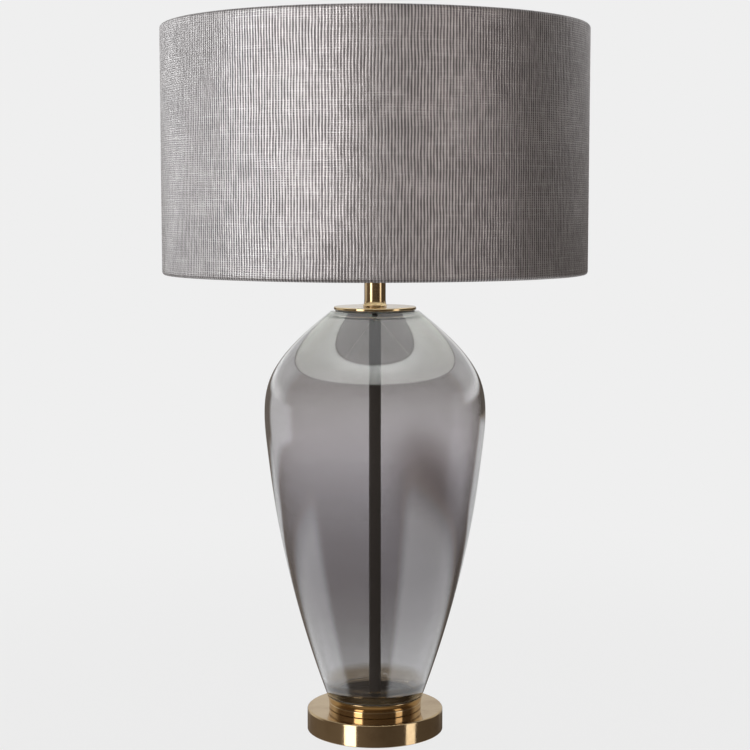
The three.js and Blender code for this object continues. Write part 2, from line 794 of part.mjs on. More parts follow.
// Each arm runs out from the hub and bends up to the top ring
const hubMiddle = (hubBottom + hubTop) / 2;
const armStart = hubRadius + gap;
const armEnd = ringRadius - ringWire - armWire;
for (let arm = 0; arm < armCount; arm += 1) {
  const bend = armEnd - armBend;
  const path = new THREE.QuadraticBezierCurve3(
    new THREE.Vector3(bend - armBendRun, 0, hubMiddle),
    new THREE.Vector3(bend, 0, hubMiddle),
    new THREE.Vector3(armEnd, 0, ringTopHeight));
  const whole = new THREE.CurvePath();
  whole.add(new THREE.LineCurve3(new THREE.Vector3(armStart, 0, hubMiddle), path.v0));
  whole.add(path);
  const turn = THREE.MathUtils.degToRad(spiderTurn + (arm - 0.25) * 360 / armCount);
  addPiece(`spider_arm_${arm + 1}`, wireAlong(whole, armWire, 6, 14).rotateZ(turn), whiteEnamel);
}

const finialBottom = hubTop + gap;
const finialTop = finialBottom + finialHeight;
const finialBore = studTop + finialPocket;
addPiece('finial', turned([
  [studRadius + gap, finialBottom],
  [finialBall, finialBottom],
  [finialBall, finialBottom + finialFoot],
  [finialNeck, finialBottom + finialFoot + finialTaper],
  [finialNeck, finialTop - 2 * finialBall - 1],
  ...arc(0, finialTop - finialBall, finialBall, -54, 90, 8).slice(0, -1),
  [0, finialTop],
  [0, finialBore],
  [studRadius + gap, finialBore - 1],
], small), brass);

export default lamp;
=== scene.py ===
# Table lamp with a smoked glass body and a woven drum shade, finished round its CAD frame.
# Metres, +Z up: z = 0 is the table, the Z axis is the threaded rod, -Y is the front.

import math

import bmesh
import bpy
import numpy as np
from mathutils import Matrix, Vector


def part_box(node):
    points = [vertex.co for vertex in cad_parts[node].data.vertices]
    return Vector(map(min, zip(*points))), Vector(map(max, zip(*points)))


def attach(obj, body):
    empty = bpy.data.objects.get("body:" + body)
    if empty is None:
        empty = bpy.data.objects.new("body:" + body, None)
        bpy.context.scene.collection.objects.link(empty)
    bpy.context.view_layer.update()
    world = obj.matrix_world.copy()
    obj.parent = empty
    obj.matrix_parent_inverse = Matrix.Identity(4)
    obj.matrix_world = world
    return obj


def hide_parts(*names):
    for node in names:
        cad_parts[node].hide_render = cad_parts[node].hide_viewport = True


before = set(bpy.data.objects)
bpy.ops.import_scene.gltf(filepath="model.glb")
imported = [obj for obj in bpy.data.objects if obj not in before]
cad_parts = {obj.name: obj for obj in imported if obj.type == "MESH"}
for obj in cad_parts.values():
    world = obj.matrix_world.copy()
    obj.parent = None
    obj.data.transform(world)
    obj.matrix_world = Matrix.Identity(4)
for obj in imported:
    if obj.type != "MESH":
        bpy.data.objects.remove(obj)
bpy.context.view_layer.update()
scene = bpy.context.scene

# ---------------------------------------------------------------- camera
# A long lens at about the height of the shade's lower edge, a little over a metre and a half
# in front of the lamp, tipped down so that the whole lamp fills the frame.

camera_distance, camera_height = 1.622, 0.506
camera_tip = 5.68  # degrees down from level
camera_data = bpy.data.cameras.new("lamp_camera")
camera_data.sensor_width = 36
camera_data.lens = 82.1
camera = bpy.data.objects.new("lamp_camera", camera_data)
camera.location = (0, -camera_distance, camera_height)
camera.rotation_euler = (math.radians(90 - camera_tip), 0, 0)
scene.collection.objects.link(camera)
scene.camera = camera

# ---------------------------------------------------------------- studio
# A white backdrop and a white sweep of floor are what the eye sees, straight or through glass, except for
# a patch of painted shade behind the lamp that only the glass shows.
# Glass and brass mirror another room: dark walls, a pale table, white cards and a ceiling.


class Socket:
    """A node's output that can be used in sums. Bare, it only starts new nodes in its tree."""

    def __init__(self, tree, output=None):
        self.tree = tree
        self.output = output

    def node(self, kind, settings=None, sockets=None, out=0):
        """Adds a node, makes its settings, then fills its sockets with values or links."""
        made = self.tree.nodes.new(kind)
        for name, choice in (settings or {}).items():
            if name == "stops":
                ramp = made.color_ramp.elements
                while len(ramp) < len(choice):
                    ramp.new(1)
                for stop, (place, colour) in zip(ramp, choice):
                    stop.position = place
                    stop.color = (*colour, 1)
            else:
                setattr(made, name, choice)
        inputs = [socket for socket in made.inputs if socket.enabled]
        for key, value in (sockets or {}).items():
            place = key if isinstance(key, int) else [socket.name for socket in inputs].index(key)
            if isinstance(value, Socket):
                self.tree.links.new(value.output, inputs[place])
            elif inputs[place].type == "RGBA" and len(value) == 3:
                inputs[place].default_value = (*value, 1)
            else:
                inputs[place].default_value = value
        outputs = [socket for socket in made.outputs if socket.enabled]
        if not outputs:
            return None
        names = [socket.name for socket in outputs]
        return Socket(self.tree, outputs[out if isinstance(out, int) else names.index(out)])

    def math(self, operation, *values):
        return self.node("ShaderNodeMath", {"operation": operation}, dict(enumerate(values)))

    def __add__(self, other):
        return self.math("ADD", self, other)

    def __sub__(self, other):
        return self.math("SUBTRACT", self, other)

    def __rsub__(self, other):
        return self.math("SUBTRACT", other, self)

    def __mul__(self, other):
        return self.math("MULTIPLY", self, other)

    def __truediv__(self, other):
        return self.math("DIVIDE", self, other)

    def __pow__(self, other):
        return self.math("POWER", self, other)

    def __abs__(self):
        return self.math("ABSOLUTE", self)

    __radd__ = __add__
    __rmul__ = __mul__


def fade(value, start, end):
    """0 up to start, 1 from end on, and a smooth step between. Start may be above end."""
    return value.node("ShaderNodeMapRange", {"interpolation_type": "SMOOTHSTEP"},
                      {"Value": value, "From Min": start, "From Max": end})


def mixed(amount, first, second):
    """A colour between two colours."""
    return amount.node("ShaderNodeMix", {"data_type": "RGBA"},
                       {"Factor": amount, "A": first, "B": second})


def xyz(vector):
    return [vector.node("ShaderNodeSeparateXYZ", None, {0: vector}, axis) for axis in "XYZ"]


def seen_directly(nodes):
    """1 where nothing, or only clear glass, stands between the eye and what it sees."""
    looks = [nodes.node("ShaderNodeLightPath", out=kind) for kind in (
        "Is Camera Ray", "Is Transmission Ray", "Diffuse Depth", "Glossy Depth")]
    unbounced = 1 - fade(looks[2] + looks[3], 0.2, 0.8)
    return nodes.math("MAXIMUM", looks[0], looks[1] * unbounced)


backdrop_white = 0.863
studio = bpy.data.worlds.new("studio")
studio.use_nodes = True
studio.node_tree.nodes.clear()
scene.world = studio
scene.view_settings.view_transform = "Standard"

air = Socket(studio.node_tree)
across, along, up = xyz(air.node("ShaderNodeTexCoord", out="Generated"))
azimuth = air.math("ARCTAN2", across, along * -1.0) * math.degrees(1)
elevation = air.math("ARCSINE", up) * math.degrees(1)
# Each thing in the room is bounded in degrees, round from the front and up from level.
table = fade(elevation, -20, -27) * (fade(azimuth, 28, 46) + fade(azimuth, -66, -84))
backdrop = fade(abs(azimuth), 98, 126) * fade(elevation, 0, 5)
horizon = 1 - fade(elevation, 6, 13)
card_width = fade(azimuth, -90, -104) * fade(azimuth, -144, -134)
side_card = card_width * fade(elevation, -15.5, -13) * (1 - fade(elevation, 0, 5))
sweep_left = fade(azimuth, -134, -146) * fade(elevation, -10, -13)
sweep_right = fade(azimuth, 134, 146) * fade(elevation, -6, -9)
sweep = (sweep_left + sweep_right) * fade(elevation, -17, -15)
ceiling = fade(elevation, 42, 66)
right_wall_glow, left_wall_extra = 0.088, 0.055
table_glow, backdrop_glow, horizon_extra = 0.63, 0.535, 0.25
card_glow, sweep_glow, ceiling_glow = 0.5, 0.5, 0.55
room = right_wall_glow + fade(azimuth, 25, -45) * left_wall_extra
room = room + table * table_glow + backdrop * (backdrop_glow + horizon * horizon_extra)
room = room + side_card * card_glow + sweep * sweep_glow
room = room + ceiling * (ceiling_glow - room)
wall_brown = (1.12, 0.95, 0.82)
wall_paint = mixed(fade(room, 0.16, 0.4), wall_brown, (1, 1, 1))
sight = seen_directly(air)
paint = mixed(sight, wall_paint, (1, 1, 1))
brightness = room + sight * (backdrop_white - room)
background = air.node("ShaderNodeBackground", None, {"Color": paint, "Strength": brightness})
air.node("ShaderNodeOutputWorld", None, {"Surface": background})


def new_finish(name):
    """An empty material and the start of its nodes."""
    material = bpy.data.materials.new(name)
    material.use_nodes = True
    material.node_tree.nodes.clear()
    return material, Socket(material.node_tree)


floor_shade = 0.06
floor_grey = (0.08, 0.08, 0.08)
floor_half = 40
# The next three set a patch of painted shade on the floor behind the lamp, seen only through the glass.
painted_shade_centre = (0.125, 1.4, 0)
painted_shade_half_size = (0.14, 1.15, 1)
painted_shade_tint = (0.37, 0.33, 0.315)
floor_finish, nodes = new_finish("studio_floor")
spot = nodes.node("ShaderNodeTexCoord", out="Object")
from_lamp = spot.node("ShaderNodeVectorMath", {"operation": "LENGTH"}, {0: spot}, "Value")
near = 1 - fade(from_lamp, 0.25, 1.1)
glow = backdrop_white - near * floor_shade
# A soft brownish patch of painted shade on the floor behind the lamp shows only through the glass.
painted_shade_place = nodes.node("ShaderNodeMapping", {"vector_type": "TEXTURE"}, {
    "Vector": spot, "Location": painted_shade_centre, "Scale": painted_shade_half_size})
painted_shade_reach = spot.node("ShaderNodeVectorMath", {"operation": "LENGTH"}, {0: painted_shade_place}, "Value")
painted_shade = (1 - fade(painted_shade_reach, 0.1, 1.0)) * nodes.node("ShaderNodeLightPath", out="Is Transmission Ray")
white_floor = nodes.node("ShaderNodeAddShader", None, {
    0: nodes.node("ShaderNodeEmission", None, {
        "Color": mixed(painted_shade, (1, 1, 1), painted_shade_tint), "Strength": glow}),
    1: nodes.node("ShaderNodeBsdfDiffuse", None, {"Color": mixed(near, (0, 0, 0), floor_grey)}),
})
# From below the floor is clear, so that the underside of the lamp can be seen.
from_above = 1 - nodes.node("ShaderNodeNewGeometry", out="Backfacing")
floor_look = nodes.node("ShaderNodeMixShader", None, {
    0: seen_directly(nodes) * from_above, 1: nodes.node("ShaderNodeBsdfTransparent"), 2: white_floor})
nodes.node("ShaderNodeOutputMaterial", None, {"Surface": floor_look})
floor_mesh = bpy.data.meshes.new("studio_floor")
floor_mesh.from_pydata([(x * floor_half, y * floor_half, 0) for x, y in
                        ((-1, -1), (1, -1), (1, 1), (-1, 1))], [], [(0, 1, 2, 3)])
floor_mesh.materials.append(floor_finish)
floor = bpy.data.objects.new("studio_floor", floor_mesh)
scene.collection.objects.link(floor)
floor.visible_diffuse = False
floor.visible_glossy = False
floor.visible_shadow = False

# Each light is linked to one group of pieces and falls on nothing else.
brass_group = bpy.data.collections.new("brass pieces")
plain_group = bpy.data.collections.new("painted, cloth and plastic pieces")
lining_group = bpy.data.collections.new("inside of the shade")
dark_group = bpy.data.collections.new("black pieces, out of every light's reach")

box_distance = 2.0


def studio_light(name, turn, rise, size, watts, tint, group, target=0.5):
    """A soft box some degrees round from the front, facing the lamp at the target height."""
    light = bpy.data.lights.new(name, "AREA")
    light.shape = "RECTANGLE"
    light.size, light.size_y = size
    light.energy = watts
    light.color = tint
    box = bpy.data.objects.new(name, light)
    away = Vector((math.sin(math.radians(turn)), -math.cos(math.radians(turn)), 0))
    away = away * math.cos(math.radians(rise)) + Vector((0, 0, math.sin(math.radians(rise))))
    box.location = Vector((0, 0, target)) + away * box_distance
    box.rotation_euler = away.to_track_quat("Z", "Y").to_euler()
    box.visible_camera = False
    box.light_linking.receiver_collection = group
    scene.collection.objects.link(box)
    return box


cool, neutral, warm = (0.96, 0.99, 1.0), (1.0, 0.985, 0.985), (1.0, 0.93, 0.9)
pale_blue = (0.93, 0.99, 1.0)
studio_light("left_strip", -42, 0, (0.72, 2.6), 19, neutral, brass_group, 0.35)
studio_light("right_strip", 62, 0, (0.62, 2.6), 7.5, neutral, brass_group, 0.35)
for name, turn, width, watts, tint in (
        ("edge_box", -120, 0.22, 4.6, cool), ("side_box", -86, 0.50, 5.4, cool),
        ("key_box", -57, 0.36, 13.5, cool), ("front_left_box", -23, 0.50, 10.8, neutral),
        ("front_right_box", 20, 0.22, 3.3, warm), ("fill_box", 48, 0.24, 3.7, warm)):
    studio_light(name, turn, 8, (width, 1.4), watts, tint, plain_group)
top_box = studio_light("top_box", 0, 89, (0.5, 0.5), 11, pale_blue, lining_group)
top_box.location.z = 1.2
under_box = studio_light("under_box", 0, -89, (0.6, 0.6), 14, pale_blue, lining_group)
under_box.location.z = -0.25

# ---------------------------------------------------------------- base
# The foot is a brass cup spun over a cast iron disc, polished and lacquered, on a felt pad.
# A black bush lines the hole for the flex in its back wall.


def extent(node):
    """Outside radius, bottom and top of a CAD node that is turned round the lamp's axis."""
    low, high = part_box(node)
    return -low.y, low.z, high.z


def rounded(corners, steps=6):
    """A profile of (radius, height) corners. A third number in a corner is its fillet."""
    outline = []
    for index, corner in enumerate(corners):
        here = Vector(corner[:2])
        if len(corner) == 2:
            outline.append(tuple(here))
            continue
        back = (Vector(corners[index - 1][:2]) - here).normalized()
        on = (Vector(corners[(index + 1) % len(corners)][:2]) - here).normalized()
        half = back.angle(on) / 2
        reach = corner[2] / math.tan(half)
        centre = here + (back + on).normalized() * (corner[2] / math.sin(half))
        first = (here + back * reach - centre).normalized()
        last = (here + on * reach - centre).normalized()
        hold = 1.3  # a loop just outside the fillet keeps the flat beside it flat
        outline.append(tuple(here + back * reach * hold))
        outline += [tuple(centre + first.slerp(last, step / steps) * corner[2])
                    for step in range(steps + 1)]
        outline.append(tuple(here + on * reach * hold))
    return outline


def piece_from(name, corners, faces, finish, sharp=38):
    """A mesh with its doubles merged, its faces outward and its edges smooth up to an angle."""
    mesh = bpy.data.meshes.new(name)
    mesh.from_pydata(corners, [], faces)
    shell = bmesh.new()
    shell.from_mesh(mesh)
    bmesh.ops.remove_doubles(shell, verts=shell.verts, dist=1e-7)
    bmesh.ops.recalc_face_normals(shell, faces=shell.faces)
    shell.to_mesh(mesh)
    shell.free()
    mesh.polygons.foreach_set("use_smooth", [True] * len(mesh.polygons))
    mesh.set_sharp_from_angle(angle=math.radians(sharp))
    mesh.materials.append(finish)
    piece = bpy.data.objects.new(name, mesh)
    scene.collection.objects.link(piece)
    return piece


def turned(name, profile, finish, segments=192, shape=None, sharp=38):
    """A piece spun round the lamp's axis. Its profile closes on itself unless both ends are on
    the axis. shape(angle, radius, height) may give another radius at each point."""
    corners = []
    rings = []
    angles = np.linspace(0, 2 * math.pi, segments, endpoint=False)
    for radius, height in profile:
        if radius < 1e-7:
            rings.append([len(corners)] * segments)
            corners.append((0, 0, height))
            continue
        rings.append(list(range(len(corners), len(corners) + segments)))
        reach = radius if shape is None else shape(angles, radius, height)
        reach = np.broadcast_to(reach, angles.shape)
        corners += list(zip(reach * np.sin(angles), -reach * np.cos(angles), [height] * segments))
    if profile[0][0] > 1e-7:
        rings.append(rings[0])
    faces = []
    for lower, upper in zip(rings, rings[1:]):
        for side in range(segments):
            after = (side + 1) % segments
            face = dict.fromkeys((lower[side], lower[after], upper[after], upper[side]))
            if len(face) > 2:
                faces.append(tuple(face))
    return piece_from(name, corners, faces, finish, sharp)


def stands_for(piece, node, body="lamp_body", group=None):
    """The piece shows in place of a CAD node, moves with its body and joins the group of pieces that its
    lights fall on.
    """
    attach(piece, body)
    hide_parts(node)
    (group or plain_group).objects.link(piece)
    return piece


def noise(place, scale, detail=3.0, roughness=0.5, stretch=(1, 1, 1), seed=0.0):
    """Cloudy noise from 0 to 1 about 0.5, its grain stretched or squeezed along the axes."""
    shifted = place.node("ShaderNodeMapping", None,
                         {"Vector": place, "Location": (seed, seed, seed), "Scale": stretch})
    return place.node("ShaderNodeTexNoise", None, {
        "Vector": shifted, "Scale": scale, "Detail": detail, "Roughness": roughness}, "Fac")


def bumps(height, depth, strength=1.0):
    """A normal from a height between 0 and 1, where 1 stands depth metres out."""
    return height.node("ShaderNodeBump", None,
                       {"Height": height, "Distance": depth, "Strength": strength})


def coat_with(material, nodes, sockets):
    """Ends a material in a Principled shader with these sockets."""
    shader = nodes.node("ShaderNodeBsdfPrincipled", None, sockets)
    nodes.node("ShaderNodeOutputMaterial", None, {"Surface": shader})
    return material


def turning_marks(place, fineness):
    """Thin rings left by the lathe, on a face or up a side alike."""
    flat = place.node("ShaderNodeVectorMath", {"operation": "MULTIPLY"}, {0: place, 1: (1, 1, 0)})
    radius = place.node("ShaderNodeVectorMath", {"operation": "LENGTH"}, {0: flat}, "Value")
    travel = radius * 1.3 + xyz(place)[2]
    return place.node("ShaderNodeTexNoise", {"noise_dimensions": "1D"},
                      {"W": travel, "Scale": fineness, "Detail": 3.0}, "Fac")


def polished_brass():
    material, nodes = new_finish("polished_brass")
    place = nodes.node("ShaderNodeTexCoord", out="Object")
    cloud = noise(place, 38, 4, 0.6)
    wipes = noise(place, 90, 2, 0.5, (1, 1, 0.12), 3.1)
    tarnish = fade(cloud, 0.42, 0.72)
    marks = turning_marks(place, 4200)
    return coat_with(material, nodes, {
        "Base Color": mixed(tarnish, (0.64, 0.48, 0.28), (0.53, 0.38, 0.21)),
        "Metallic": 1.0,
        "Roughness": 0.085 + tarnish * 0.05 + fade(wipes, 0.5, 0.8) * 0.045,
        "Normal": bumps(marks, 0.0000035),
    })


brass = polished_brass()


def felt_pad_finish():
    material, nodes = new_finish("black_felt")
    place = nodes.node("ShaderNodeTexCoord", out="Object")
    fibres = noise(place, 1400, 4, 0.7)
    clumps = noise(place, 160, 3)
    return coat_with(material, nodes, {
        "Base Color": mixed(fibres * 0.6 + clumps * 0.4, (0.008, 0.008, 0.009), (0.045, 0.044, 0.043)),
        "Roughness": 0.95,
        "Sheen Weight": 0.4,
        "Sheen Roughness": 0.6,
        "Normal": bumps(fibres + clumps * 0.5, 0.0004),
    })


pad_radius, pad_bottom, pad_top = extent("base_pad")
pad_round = 0.0006
stands_for(turned("felt_pad", rounded([
    (0, pad_bottom), (pad_radius, pad_bottom, pad_round),
    (pad_radius, pad_top, pad_round), (0, pad_top)]), felt_pad_finish()), "base_pad")

shell_radius, shell_bottom, shell_top = extent("base_shell")
rod_hole = 0.00515
shell_wall = 0.0012
shell_edge = 0.0016
lip_round = 0.0004
inlet_height = (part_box("cord_bush")[0].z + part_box("cord_bush")[1].z) / 2
inlet_hole = 0.0048
shell = turned("spun_base_shell", rounded([
    (shell_radius - shell_wall, shell_bottom, lip_round),
    (shell_radius, shell_bottom, lip_round),
    (shell_radius, shell_top, shell_edge),
    (rod_hole, shell_top),
    (rod_hole, shell_top - shell_wall),
    (shell_radius - shell_wall, shell_top - shell_wall),
]), brass, 256)


def laid_along(piece, degrees, height):
    """Turns a piece made round +Z to lie level, pointing some degrees round from +X."""
    piece.data.transform(
        Matrix.Translation((0, 0, height)) @ Matrix.Rotation(math.radians(degrees), 4, "Z")
        @ Matrix.Rotation(math.pi / 2, 4, "Y"))
    return piece


def bored(piece, cutter):
    """The piece with the cutter's shape taken out, as a plain mesh. The cutter is used up."""
    bore = piece.modifiers.new("bore", "BOOLEAN")
    bore.object = cutter
    bore.solver = "EXACT"
    ready = piece.evaluated_get(bpy.context.evaluated_depsgraph_get())
    mesh = bpy.data.meshes.new_from_object(ready)
    piece.modifiers.remove(bore)
    piece.data = mesh
    bpy.data.objects.remove(cutter)
    return piece


drill = laid_along(turned("drill", [
    (0, shell_radius * 0.8), (inlet_hole, shell_radius * 0.8),
    (inlet_hole, shell_radius * 1.2), (0, shell_radius * 1.2)], brass, 48), 90, inlet_height)
stands_for(bored(shell, drill), "base_shell", group=brass_group)


def cast_iron_finish():
    material, nodes = new_finish("black_cast_iron")
    place = nodes.node("ShaderNodeTexCoord", out="Object")
    sand = noise(place, 700, 5, 0.65)
    lumps = noise(place, 90, 3)
    return coat_with(material, nodes, {
        "Base Color": mixed(fade(lumps, 0.45, 0.7), (0.035, 0.035, 0.036), (0.075, 0.066, 0.06)),
        "Metallic": 0.3,
        "Roughness": 0.6 + sand * 0.3,
        "Normal": bumps(sand + lumps, 0.0005),
    })


weight_radius, weight_bottom, weight_top = extent("base_weight")
weight_pocket = 0.014
weight_pocket_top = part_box("rod_washer")[1].z + 0.0003
weight_round = 0.0008
weight = turned("iron_weight", rounded([
    (weight_pocket, weight_bottom, weight_round), (weight_radius, weight_bottom, weight_round),
    (weight_radius, weight_top, weight_round), (rod_hole, weight_top),
    (rod_hole, weight_pocket_top), (weight_pocket, weight_pocket_top)]), cast_iron_finish(), 128)
channel_half = 0.0051
channel_top = inlet_height + channel_half
channel_end = weight_radius * 1.2


def block_cutter(name, low, high):
    """A block between two corners, to be taken out of a piece."""
    corners = [(x, y, z) for x in (low[0], high[0]) for y in (low[1], high[1])
               for z in (low[2], high[2])]
    return piece_from(name, corners, [(0, 1, 3, 2), (4, 6, 7, 5), (0, 4, 5, 1), (2, 3, 7, 6),
                                      (0, 2, 6, 4), (1, 5, 7, 3)], brass)


channel = block_cutter("channel", (-channel_half, 0, 0), (channel_half, channel_end, channel_top))
stands_for(bored(weight, channel), "base_weight")


def moulded_plastic():
    material, nodes = new_finish("black_phenolic")
    place = nodes.node("ShaderNodeTexCoord", out="Object")
    filler = noise(place, 520, 4, 0.6)
    return coat_with(material, nodes, {
        "Base Color": mixed(fade(filler, 0.5, 0.75), (0.012, 0.0105, 0.0095), (0.03, 0.023, 0.018)),
        "Roughness": 0.3 + filler * 0.16,
        "Normal": bumps(filler, 0.00004),
    })


plastic = moulded_plastic()
bush_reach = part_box("cord_bush")[1].y
bush_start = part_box("cord_bush")[0].y
bush_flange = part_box("cord_bush")[1].x
bush_flange_thickness = 0.0018
bush_bore = 0.0034
bush_wall = 0.0011
bush_round = 0.0005
stands_for(laid_along(turned("flex_bush", rounded([
    (bush_bore, bush_start), (bush_bore + bush_wall, bush_start),
    (bush_bore + bush_wall, bush_reach - bush_flange_thickness),
    (bush_flange, bush_reach - bush_flange_thickness, bush_round / 2),
    (bush_flange, bush_reach, bush_round * 1.4),
    (bush_bore, bush_reach, bush_round * 1.4)]), plastic, 64), 90, inlet_height),
    "cord_bush")

# ---------------------------------------------------------------- rod, washer and nut
# A hollow steel rod, threaded along its length and zinc plated, draws the whole lamp together.
# A washer and a hexagon nut in the weight's pocket hold its lower end.


def zinc_plate():
    material, nodes = new_finish("zinc_plated_steel")
    place = nodes.node("ShaderNodeTexCoord", out="Object")
    bloom = noise(place, 150, 4, 0.6)
    spangle = nodes.node("ShaderNodeTexVoronoi", None, {"Vector": place, "Scale": 900.0}, "Distance")
    return coat_with(material, nodes, {
        "Base Color": mixed(fade(bloom, 0.4, 0.7), (0.60, 0.60, 0.61), (0.47, 0.46, 0.44)),
        "Metallic": 1.0,
        "Roughness": 0.26 + bloom * 0.16,
        "Normal": bumps(spangle, 0.00001),
    })


steel = zinc_plate()
rod_radius, rod_bottom, rod_top = extent("threaded_rod")
rod_bore = 0.0034
rod_pitch = 0.001
rod_thread_depth = 0.0003
rod_rows_per_turn = 3


def thread(pitch, depth):
    """A round thread cut into a turned piece, its crests left at the piece's own radius."""
    return lambda angle, radius, height: radius - depth * (
        0.5 - 0.5 * np.cos(angle - 2 * math.pi * height / pitch))


thread_steps = round((rod_top - rod_bottom) / rod_pitch * rod_rows_per_turn)
rod_outline = [(rod_radius, rod_bottom + (rod_top - rod_bottom) * step / thread_steps)
               for step in range(thread_steps + 1)]
cut_thread = thread(rod_pitch, rod_thread_depth)
stands_for(turned("threaded_steel_rod", [(rod_bore, rod_bottom), *rod_outline, (rod_bore, rod_top)],
                  steel, 24, lambda angle, radius, height:
                  cut_thread(angle, radius, height) if radius > rod_bore else radius, 60),
           "threaded_rod")

washer_radius, washer_bottom, washer_top = extent("rod_washer")
washer_round = 0.0003
stands_for(turned("steel_washer", rounded([
    (rod_hole, washer_bottom), (washer_radius, washer_bottom, washer_round),
    (washer_radius, washer_top, washer_round), (rod_hole, washer_top)]), steel, 96),
    "rod_washer")

nut_low, nut_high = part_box("rod_nut")
nut_flats = nut_high.y
nut_chamfer = 0.0008


def hexagon(angle, radius, height):
    """Six flats, with the corners turned down where the profile is narrower."""
    flats = nut_flats / np.cos((angle + math.pi / 6) % (math.pi / 3) - math.pi / 6)
    return radius if radius <= rod_hole else np.minimum(flats, radius)


nut_corner = nut_flats / math.cos(math.pi / 6)
stands_for(turned("hexagon_nut", [
    (rod_hole, nut_low.z), (nut_corner - nut_chamfer, nut_low.z),
    (nut_corner, nut_low.z + nut_chamfer), (nut_corner, nut_high.z - nut_chamfer),
    (nut_corner - nut_chamfer, nut_high.z), (rod_hole, nut_high.z)], steel, 96, hexagon, 25),
    "rod_nut")

# ---------------------------------------------------------------- collar, foot cup and dish
# Two spun brass rings step up from the base to the glass. The upper one is the cup that the
# glass stands in, on a clear ring, round a black dish that keeps it central.

collar_radius, collar_bottom, collar_top = extent("collar_ring")
collar_wall = 0.0015
collar_edge = 0.0009
stands_for(turned("spun_collar", rounded([
    (collar_radius - collar_wall, collar_bottom, lip_round),
    (collar_radius, collar_bottom, lip_round),
    (collar_radius, collar_top, collar_edge),
    (rod_hole, collar_top), (rod_hole, collar_top - collar_wall),
    (collar_radius - collar_wall, collar_top - collar_wall)]), brass, 256),
    "collar_ring", group=brass_group)

cup_radius, cup_bottom, cup_top = extent("foot_cup")
dish_radius, dish_bottom, dish_top = extent("seat_dish")
cup_waist = 0.0448
cup_floor = 0.0016
cup_flare_steps = 8
cup_bore = dish_radius + 0.0004
cup_lip = 0.0005
cup_flare = [(cup_waist + (cup_radius - cup_waist) * (1 - math.cos(share * math.pi / 2)),
              cup_bottom + (cup_top - cup_bottom - cup_lip) * share)
             for share in [step / cup_flare_steps for step in range(1, cup_flare_steps)]]
stands_for(turned("spun_foot_cup", rounded([
    (rod_hole, cup_bottom), (cup_waist, cup_bottom, lip_round), *cup_flare,
    (cup_radius, cup_top, cup_lip), (cup_bore, cup_top, cup_lip),
    (cup_bore, cup_bottom + cup_floor), (rod_hole, cup_bottom + cup_floor)]), brass, 256),
    "foot_cup", group=brass_group)


def silicone():
    material, nodes = new_finish("clear_silicone")
    place = nodes.node("ShaderNodeTexCoord", out="Object")
    haze = noise(place, 300, 3)
    return coat_with(material, nodes, {
        "Base Color": mixed(haze, (0.86, 0.86, 0.83), (0.95, 0.95, 0.93)),
        "Roughness": 0.22 + haze * 0.2,
        "Transmission Weight": 0.85,
        "IOR": 1.41,
        "Normal": bumps(haze, 0.00003),
    })


clear_rubber = silicone()


def flat_ring(name, node, bore, finish, fillet, segments=192):
    """A plain ring or gasket of a CAD node's outside size, with eased edges."""
    radius, bottom, top = extent(node)
    ring = turned(name, rounded([
        (bore, bottom, fillet), (radius, bottom, fillet), (radius, top, fillet),
        (bore, top, fillet)], 3), finish, segments)
    return stands_for(ring, node)


gasket_round = 0.00015
flat_ring("clear_foot_ring", "foot_gasket", cup_bore + 0.0012, clear_rubber,
          gasket_round)


def satin_black():
    material, nodes = new_finish("satin_black_paint")
    place = nodes.node("ShaderNodeTexCoord", out="Object")
    peel = noise(place, 620, 2)
    dust = fade(noise(place, 1500, 1), 0.68, 0.76)
    return coat_with(material, nodes, {
        "Base Color": mixed(dust, (0.0125, 0.0125, 0.0135), (0.05, 0.05, 0.05)),
        "Roughness": 0.27 + peel * 0.12,
        "Coat Weight": 0.2,
        "Coat Roughness": 0.12,
        "Normal": bumps(peel, 0.00003),
    })


black_paint = satin_black()
dish_floor = dish_bottom + 0.0015
dish_wall = 0.0016
dish_round = 0.0006
stands_for(turned("black_seat_dish", rounded([
    (rod_hole, dish_bottom), (dish_radius, dish_bottom, dish_round),
    (dish_radius, dish_top, dish_round), (dish_radius - dish_wall, dish_top, dish_round),
    (dish_radius - dish_wall, dish_floor, dish_round * 2), (rod_hole, dish_floor)]),
    black_paint, 192), "seat_dish", group=dark_group)

# ---------------------------------------------------------------- glass body
# One blown vessel of smoke-grey glass with a thin lustre, narrow at the foot, full at the
# shoulder, cut open at both ends. Its tint is darkest below the middle and at the mouth and
# lightest round the widest part; the brownish band at the very foot is painted shade and brass
# reflection.

glass_bottom, glass_top = extent("glass_body")[1:]
glass_height = glass_top - glass_bottom
glass_wall = 0.0035
glass_shares = (0, 0.1, 0.3, 0.5, 0.64, 0.74, 0.84, 0.93, 1)
glass_radii = (0.0468, 0.0595, 0.0807, 0.0956, 0.1025, 0.1053, 0.0975, 0.0714, 0.0414)
foot_bore = cup_bore
foot_depth = 0.003
foot_slope = 0.0042
mouth_bore = 0.033
mouth_depth = 0.0034
glass_steps = 120
ground_edge = 0.0006


def smooth_through(shares, values):
    """A function along the smooth curve that passes through every point, with no kink at all."""
    places = np.array(shares, float)
    heights = np.array(values, float)
    step = np.diff(places)
    slope = np.diff(heights) / step
    count = len(places)
    rows = np.zeros((count, count))
    right = np.zeros(count)
    for index in range(1, count - 1):
        rows[index, index - 1:index + 2] = (
            step[index - 1], 2 * (step[index - 1] + step[index]), step[index])
        right[index] = 6 * (slope[index] - slope[index - 1])
    rows[0, :3] = (step[1], -step[0] - step[1], step[0])
    rows[-1, -3:] = (step[-1], -step[-1] - step[-2], step[-2])
    bend = np.linalg.solve(rows, right)

    def at(share):
        index = min(max(int(np.searchsorted(places, share)) - 1, 0), count - 2)
        before, after = share - places[index], places[index + 1] - share
        wide = step[index]
        return float((bend[index] * after ** 3 + bend[index + 1] * before ** 3) / (6 * wide)
                     + (heights[index] / wide - bend[index] * wide / 6) * after
                     + (heights[index + 1] / wide - bend[index + 1] * wide / 6) * before)
    return at


glass_outline = smooth_through(glass_shares, glass_radii)


